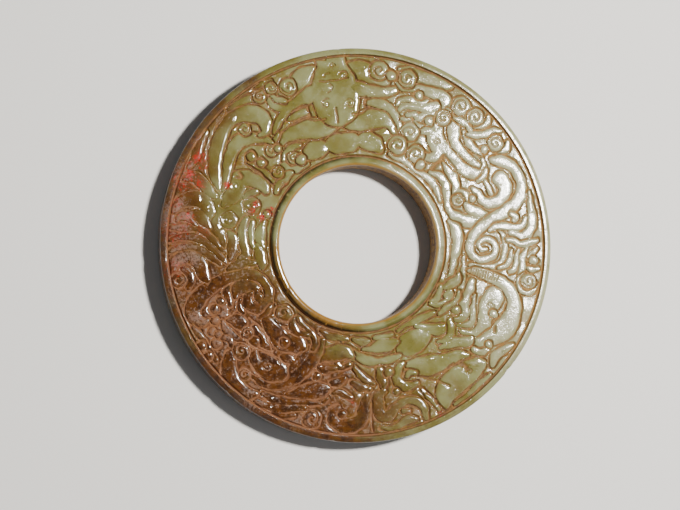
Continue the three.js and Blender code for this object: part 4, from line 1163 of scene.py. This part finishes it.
def mark(mesh, sizes):
    """Notes how deep each vertex lies in the carving, how the stone is stained there and where sheen and shade are
    painted on it.
    """
    place = vertex_places(mesh)
    x, y, z = place.T
    radius = np.hypot(x, y)
    thick, hole, rim = THICKNESS / MM, HOLE_RADIUS / MM, DISC_RADIUS / MM
    depth = np.where(
        z > thick / 2, (thick - z - sizes.below_rim / MM) / (sizes.relief / MM), z / (sizes.back_relief / MM)
    )
    on_field = smooth((radius - hole - 1) / 0.5) * smooth((rim - 0.8 - radius) / 0.4)
    note(mesh, "groove", np.clip(depth, 0, 1) * on_field)
    note(mesh, "russet", soft_patches(x, y, RUSSET_PLACES))
    note(mesh, "cinnabar", soft_patches(x, y, CINNABAR_PLACES))
    note(mesh, "crust", soft_patches(x, y, CRUST_PLACES))
    # Paler right side: partly paler stone, partly a painted sheen.
    note(mesh, "pale", soft_patches(x, y, PALE_AND_SHEEN_PLACES))
    # Browner left half: partly the stone's tone, partly painted shade.
    note(mesh, "tan", soft_patches(x, y, TAN_AND_SHADE_PLACES))
    note(mesh, "wall", smooth((hole + 0.7 - radius) / 0.5) * smooth((thick - 0.25 - z) / 0.6))
    note(mesh, "lip", smooth((hole + 0.75 - radius) / 0.35))
    note(mesh, "brim", smooth((hole + 2.1 - radius) / 0.3))
    note(mesh, "rim", smooth((radius - rim + 1.5) / 0.4))
    note(mesh, "side", smooth((radius - rim + 0.35) / 0.3))


class Recipe:
    """A material's node tree, with a short method for each kind of step."""

    def __init__(self, name):
        self.material = bpy.data.materials.new(name)
        self.material.use_nodes = True
        self.tree = self.material.node_tree
        self.tree.nodes.clear()
        self.shader = self.tree.nodes.new("ShaderNodeBsdfPrincipled")
        out = self.tree.nodes.new("ShaderNodeOutputMaterial")
        self.tree.links.new(self.shader.outputs["BSDF"], out.inputs["Surface"])
        self.object = self.node("ShaderNodeTexCoord").outputs["Object"]
        self.place = self.maths_vector("SCALE", self.object, 1 / MM)

    def feed(self, socket, value):
        if isinstance(value, bpy.types.NodeSocket):
            self.tree.links.new(value, socket)
        elif hasattr(socket.default_value, "__len__") and len(socket.default_value) == 4:
            socket.default_value = (*tuple(value)[:3], 1)
        else:
            socket.default_value = value

    def node(self, kind, inputs=None, **settings):
        node = self.tree.nodes.new(kind)
        for key, value in settings.items():
            setattr(node, key, value)
        for key, value in (inputs or {}).items():
            self.feed(node.inputs[key], value)
        return node

    def maths(self, operation, a, b=0.0):
        return self.node("ShaderNodeMath", {0: a, 1: b}, operation=operation).outputs[0]

    def maths_vector(self, operation, a, scale):
        return self.node("ShaderNodeVectorMath", {"Vector": a, "Scale": scale}, operation=operation).outputs[0]

    def attribute(self, name):
        return self.node("ShaderNodeAttribute", attribute_name=name).outputs["Fac"]

    def noise(self, size, detail=3.0, roughness=0.55, seed=0.0):
        """Cloudy noise with lumps of a given size in millimetres, about 0.3 to 0.7."""
        place = self.node("ShaderNodeVectorMath", {0: self.place, 1: (seed, seed * 1.7, seed * 0.3)}, operation="ADD")
        return self.node(
            "ShaderNodeTexNoise",
            {"Vector": place.outputs[0], "Scale": 1 / size, "Detail": detail, "Roughness": roughness},
        ).outputs["Fac"]

    def ramp(self, value, low, high):
        """Runs evenly from 0 at low to 1 at high."""
        return self.node(
            "ShaderNodeMapRange", {"Value": value, "From Min": low, "From Max": high},
            interpolation_type="SMOOTHSTEP",
        ).outputs["Result"]

    def broken(self, value, noise, amount, low, high):
        """A share with its edge broken up by noise."""
        moved = self.maths("MULTIPLY", self.maths("SUBTRACT", noise, 0.5), amount)
        return self.ramp(self.maths("ADD", value, moved), low, high)

    def blend(self, share, a, b):
        mix = self.node("ShaderNodeMix", {"Factor": share}, data_type="RGBA")
        self.feed(mix.inputs[6], a)
        self.feed(mix.inputs[7], b)
        return mix.outputs[2]


def jade(colours):
    """Old jade: olive and celadon, a russet skin on one side, earth in the cuts, red specks and a waxy gloss, with a
    painted sheen on the paler right side and painted shade on the browner left.
    """
    r = Recipe("jade")
    groove, russet, pale, rim = (r.attribute(name) for name in ("groove", "russet", "pale", "rim"))
    clouds, veins = r.noise(7), r.noise(2.2, 4, 0.6, 11)
    grains, dust = r.noise(0.5, 3, 0.6, 23), r.noise(0.16, 2, 0.6, 31)

    body = r.blend(r.ramp(clouds, 0.36, 0.64), colours.olive, colours.celadon)
    body = r.blend(r.maths("MULTIPLY", r.ramp(veins, 0.55, 0.75), 0.35), body, colours.olive)
    # The right side is blended towards the whitish pale colour: partly paler stone, partly a painted sheen of the key
    # light.
    sheen_and_bloom = r.maths("MULTIPLY", pale, r.maths("ADD", 0.45, r.maths("MULTIPLY", r.ramp(veins, 0.3, 0.6), 0.5)))
    body = r.blend(sheen_and_bloom, body, colours.pale)
    # Brown olive over the left half: partly the stone's tone, partly painted shade on the side away from the key light.
    # The same mask puts more earth in the cuts there, and the slate and gold below.
    warm_and_shade = r.broken(r.attribute("tan"), r.noise(5, 4, 0.6, 71), 0.9, 0.1, 1.0)
    body = r.blend(r.maths("MULTIPLY", warm_and_shade, 0.9), body, colours.tan)
    amber = r.maths("MULTIPLY", r.ramp(groove, 0.06, 0.42), r.maths("SUBTRACT", 0.75, r.maths("MULTIPLY", pale, 0.35)))
    body = r.blend(amber, body, colours.amber)

    skin = r.broken(russet, r.noise(3.0, 5, 0.65, 5), 1.5, 0.15, 0.95)
    brown = r.blend(r.ramp(r.noise(1.8, 4, 0.65, 17), 0.38, 0.62), colours.umber, colours.russet)
    body = r.blend(r.maths("MULTIPLY", skin, 0.96), body, brown)

    soil = r.blend(r.ramp(r.noise(1.3, 3, 0.6, 83), 0.42, 0.62), colours.dark_earth, colours.earth)
    soil = r.blend(r.maths("MULTIPLY", pale, 0.7), soil, colours.gold)
    soil = r.blend(skin, soil, colours.pink_earth)
    haze = r.broken(groove, r.noise(2.6, 5, 0.7, 77), 0.9, 0.02, 0.42)
    haze = r.maths("MULTIPLY", haze, r.maths("ADD", 0.22, r.maths("MULTIPLY", warm_and_shade, 0.2)))
    body = r.blend(haze, body, soil)
    depth = r.maths("ADD", groove, r.maths("ADD", r.maths("MULTIPLY", warm_and_shade, 0.06), r.maths("MULTIPLY", skin, 0.05)))
    depth = r.maths("SUBTRACT", depth, r.maths("MULTIPLY", pale, 0.1))
    packed = r.broken(depth, r.noise(0.7, 5, 0.75, 29), 1.9, 0.26, 0.66)
    body = r.blend(r.maths("MULTIPLY", packed, 0.9), body, soil)
    spots = r.maths("ADD", 0.2, r.maths("MULTIPLY", warm_and_shade, 0.08))
    film = r.maths("MULTIPLY", r.ramp(dust, 0.52, 0.68), r.ramp(veins, 0.42, 0.6))
    body = r.blend(r.maths("MULTIPLY", film, spots), body, soil)
    grime = r.maths("MULTIPLY", r.ramp(r.noise(0.35, 3, 0.7, 91), 0.6, 0.68), r.ramp(groove, 0.1, 0.5))
    body = r.blend(r.maths("MULTIPLY", grime, 0.75), body, colours.umber)

    crust = r.broken(r.attribute("crust"), r.noise(0.5, 4, 0.75, 61), 2.6, 0.7, 1.1)
    body = r.blend(r.maths("MULTIPLY", crust, 0.6), body, soil)
    blush = r.broken(r.attribute("cinnabar"), r.noise(1.6, 5, 0.75, 43), 1.6, 0.2, 1.2)
    body = r.blend(r.maths("MULTIPLY", blush, 0.6), body, colours.brick)
    red = r.broken(r.attribute("cinnabar"), r.noise(0.5, 5, 0.8, 41), 3.6, 0.86, 1.1)
    body = r.blend(r.maths("MULTIPLY", red, 0.9), body, colours.cinnabar)
    # Dark slate patches on the outer rim, only where the left side's tan mask is: partly wear, partly painted shade.
    worn = r.maths("MULTIPLY", rim, r.ramp(r.noise(1.2, 4, 0.7, 97), 0.4, 0.62))
    body = r.blend(r.maths("MULTIPLY", r.maths("MULTIPLY", worn, warm_and_shade), 0.85), body, colours.slate_and_shade)
    brim = r.maths("MULTIPLY", r.attribute("brim"), r.ramp(r.noise(2, 4, 0.6, 13), 0.3, 0.6))
    body = r.blend(r.maths("MULTIPLY", r.maths("MULTIPLY", brim, warm_and_shade), 0.6), body, colours.gold)
    body = r.blend(r.maths("MULTIPLY", r.attribute("lip"), 0.75), body, colours.gold)
    wall = r.attribute("wall")
    # Black flecks between gold and earth streaks on the hole's wall: partly dark soil, partly painted shade of the
    # shaded wall.
    flecks = r.ramp(r.noise(0.6, 6, 0.8, 53), 0.44, 0.49)
    streaks = r.blend(r.ramp(r.noise(1.6, 4, 0.7, 59), 0.35, 0.65), colours.dark_earth, colours.gold)
    body = r.blend(wall, body, r.blend(flecks, colours.black_and_shade, streaks))
    side = r.attribute("side")
    stains = r.broken(side, r.noise(2.4, 5, 0.75, 67), 1.6, 0.95, 1.3)
    body = r.blend(r.maths("MULTIPLY", stains, 0.75), body, soil)

    r.feed(r.shader.inputs["Base Color"], body)
    dull = r.maths("MULTIPLY", r.ramp(packed, 0, 0.35), 0.7)
    dull = r.maths("ADD", r.maths("ADD", dull, 0.09), r.maths("MULTIPLY", r.ramp(crust, 0, 0.4), 0.6))
    dull = r.maths("ADD", dull, r.maths("MULTIPLY", pale, 0.06))
    dull = r.maths("ADD", dull, r.maths("MULTIPLY", wall, 0.7))
    dull = r.maths("ADD", dull, r.maths("MULTIPLY", r.ramp(grains, 0.5, 0.7), 0.05))
    dull = r.maths("ADD", dull, r.maths("MULTIPLY", rim, 0.05))
    r.feed(r.shader.inputs["Roughness"], dull)
    shader = r.shader.inputs
    shader["IOR"].default_value = 1.61
    shader["Subsurface Weight"].default_value = 0.3
    shader["Subsurface Radius"].default_value = (1.0, 0.75, 0.35)
    shader["Subsurface Scale"].default_value = 0.9 * MM
    shader["Coat Weight"].default_value = 0.1
    shader["Coat Roughness"].default_value = 0.08
    pits = r.maths("ADD", r.maths("MULTIPLY", grains, 0.75), r.maths("MULTIPLY", dust, 0.25))
    pits = r.maths("SUBTRACT", pits, r.maths("MULTIPLY", r.ramp(r.noise(0.7, 4, 0.7, 47), 0.62, 0.72), 0.8))
    rough = r.maths("ADD", 0.12, r.maths("MULTIPLY", r.maths("MAXIMUM", pale, packed), 0.45))
    bump = r.node("ShaderNodeBump", {"Strength": rough, "Distance": 0.08 * MM, "Height": pits})
    r.feed(shader["Normal"], bump.outputs["Normal"])
    return r.material


class BI_OT_carved_disc(bpy.types.Operator):
    """Turns the ring, sinks its carving and gives it its stone"""

    bl_idname = "bi.carved_disc"
    bl_label = "Carved disc"

    def execute(self, context):
        sizes = context.scene.bi_sizes
        mesh = turned_ring(sizes)
        carve(mesh, sizes)
        piece = bpy.data.objects.new("carved_disc", mesh)
        context.collection.objects.link(piece)
        thin_out(piece, sizes.triangles)
        mark(piece.data, sizes)
        piece.data.shade_smooth()
        true_normals(piece.data, sizes)
        piece.data.materials.append(jade(context.scene.bi_colours))
        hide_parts("disc")
        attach(piece, "root")
        return {"FINISHED"}


def aim(thing, target):
    """Turns a light or camera to face a point, with the picture's top towards +Y."""
    back = (thing.location - target).normalized()
    right = Vector((0, 1, 0)).cross(back).normalized()
    thing.rotation_euler = Matrix((right, back.cross(right), back)).transposed().to_euler()


def lamp(name, location, size, power, colour, target):
    """A soft square light."""
    light = bpy.data.lights.new(name, "AREA")
    light.size = size
    light.energy = power
    light.color = colour
    holder = bpy.data.objects.new(name, light)
    bpy.context.collection.objects.link(holder)
    holder.location = location
    aim(holder, target)
    return holder


class BI_OT_stage(bpy.types.Operator):
    """Lays the plain floor and sets up the soft studio light and the camera"""

    bl_idname = "bi.stage"
    bl_label = "Floor, light and camera"

    def execute(self, context):
        stage = context.scene.bi_stage
        bm = bmesh.new()
        bmesh.ops.create_grid(bm, x_segments=1, y_segments=1, size=3)
        mesh = bpy.data.meshes.new("floor")
        bm.to_mesh(mesh)
        bm.free()
        paper = Recipe("floor")
        paper.feed(paper.shader.inputs["Base Color"], stage.floor_colour)
        paper.shader.inputs["Roughness"].default_value = 0.8
        mesh.materials.append(paper.material)
        floor = bpy.data.objects.new("floor", mesh)
        context.collection.objects.link(floor)

        centre = Vector((0, 0, THICKNESS / 2))
        lamp("key_light", Vector((0.225, 0.095, 0.57)), 0.055, 8.6, (1.0, 0.97, 0.92), centre)
        lamp("side_light", Vector((0.45, -0.3, 0.4)), 0.4, 0.4, (0.97, 0.98, 1.0), centre)
        world = bpy.data.worlds.new("studio")
        world.use_nodes = True
        world.node_tree.nodes["Background"].inputs["Color"].default_value = (0.9, 0.92, 0.95, 1)
        world.node_tree.nodes["Background"].inputs["Strength"].default_value = 0.14
        context.scene.world = world

        lens = bpy.data.cameras.new("camera")
        lens.lens = stage.focal_length
        lens.sensor_width = 36
        camera = bpy.data.objects.new("camera", lens)
        context.collection.objects.link(camera)
        lean = Vector((math.cos(stage.heading), math.sin(stage.heading), 0)) * math.sin(stage.tilt)
        camera.location = centre + (lean + Vector((0, 0, math.cos(stage.tilt)))) * stage.distance
        right_of_centre, above_centre = 15.7, 9.8
        pixel = stage.distance * lens.sensor_width / lens.lens / 680
        aim(camera, centre + Vector((-right_of_centre * pixel, -above_centre * pixel, 0)))
        context.scene.camera = camera
        return {"FINISHED"}


class BI_PT_panel(bpy.types.Panel):
    """The disc's parts, in the order in which they are made"""

    bl_label = "Bi disc"
    bl_idname = "BI_PT_panel"
    bl_space_type = "VIEW_3D"
    bl_region_type = "UI"
    bl_category = "Bi disc"

    def draw(self, context):
        for operator in OPERATORS:
            self.layout.operator(operator.bl_idname)
        for group in (context.scene.bi_sizes, context.scene.bi_colours, context.scene.bi_stage):
            for name in group.bl_rna.properties.keys():
                if name not in ("rna_type", "name"):
                    self.layout.prop(group, name)


OPERATORS = (BI_OT_stage, BI_OT_carved_disc)
CLASSES = (DiscSizes, StoneColours, StageSettings, *OPERATORS, BI_PT_panel)


def register():
    for cls in CLASSES:
        bpy.utils.register_class(cls)
    bpy.types.Scene.bi_sizes = PointerProperty(type=DiscSizes)
    bpy.types.Scene.bi_colours = PointerProperty(type=StoneColours)
    bpy.types.Scene.bi_stage = PointerProperty(type=StageSettings)


def unregister():
    del bpy.types.Scene.bi_stage
    del bpy.types.Scene.bi_colours
    del bpy.types.Scene.bi_sizes
    for cls in reversed(CLASSES):
        bpy.utils.unregister_class(cls)


def main():
    register()
    bpy.ops.bi.stage()
    bpy.ops.bi.carved_disc()


if __name__ == "__main__":
    main()
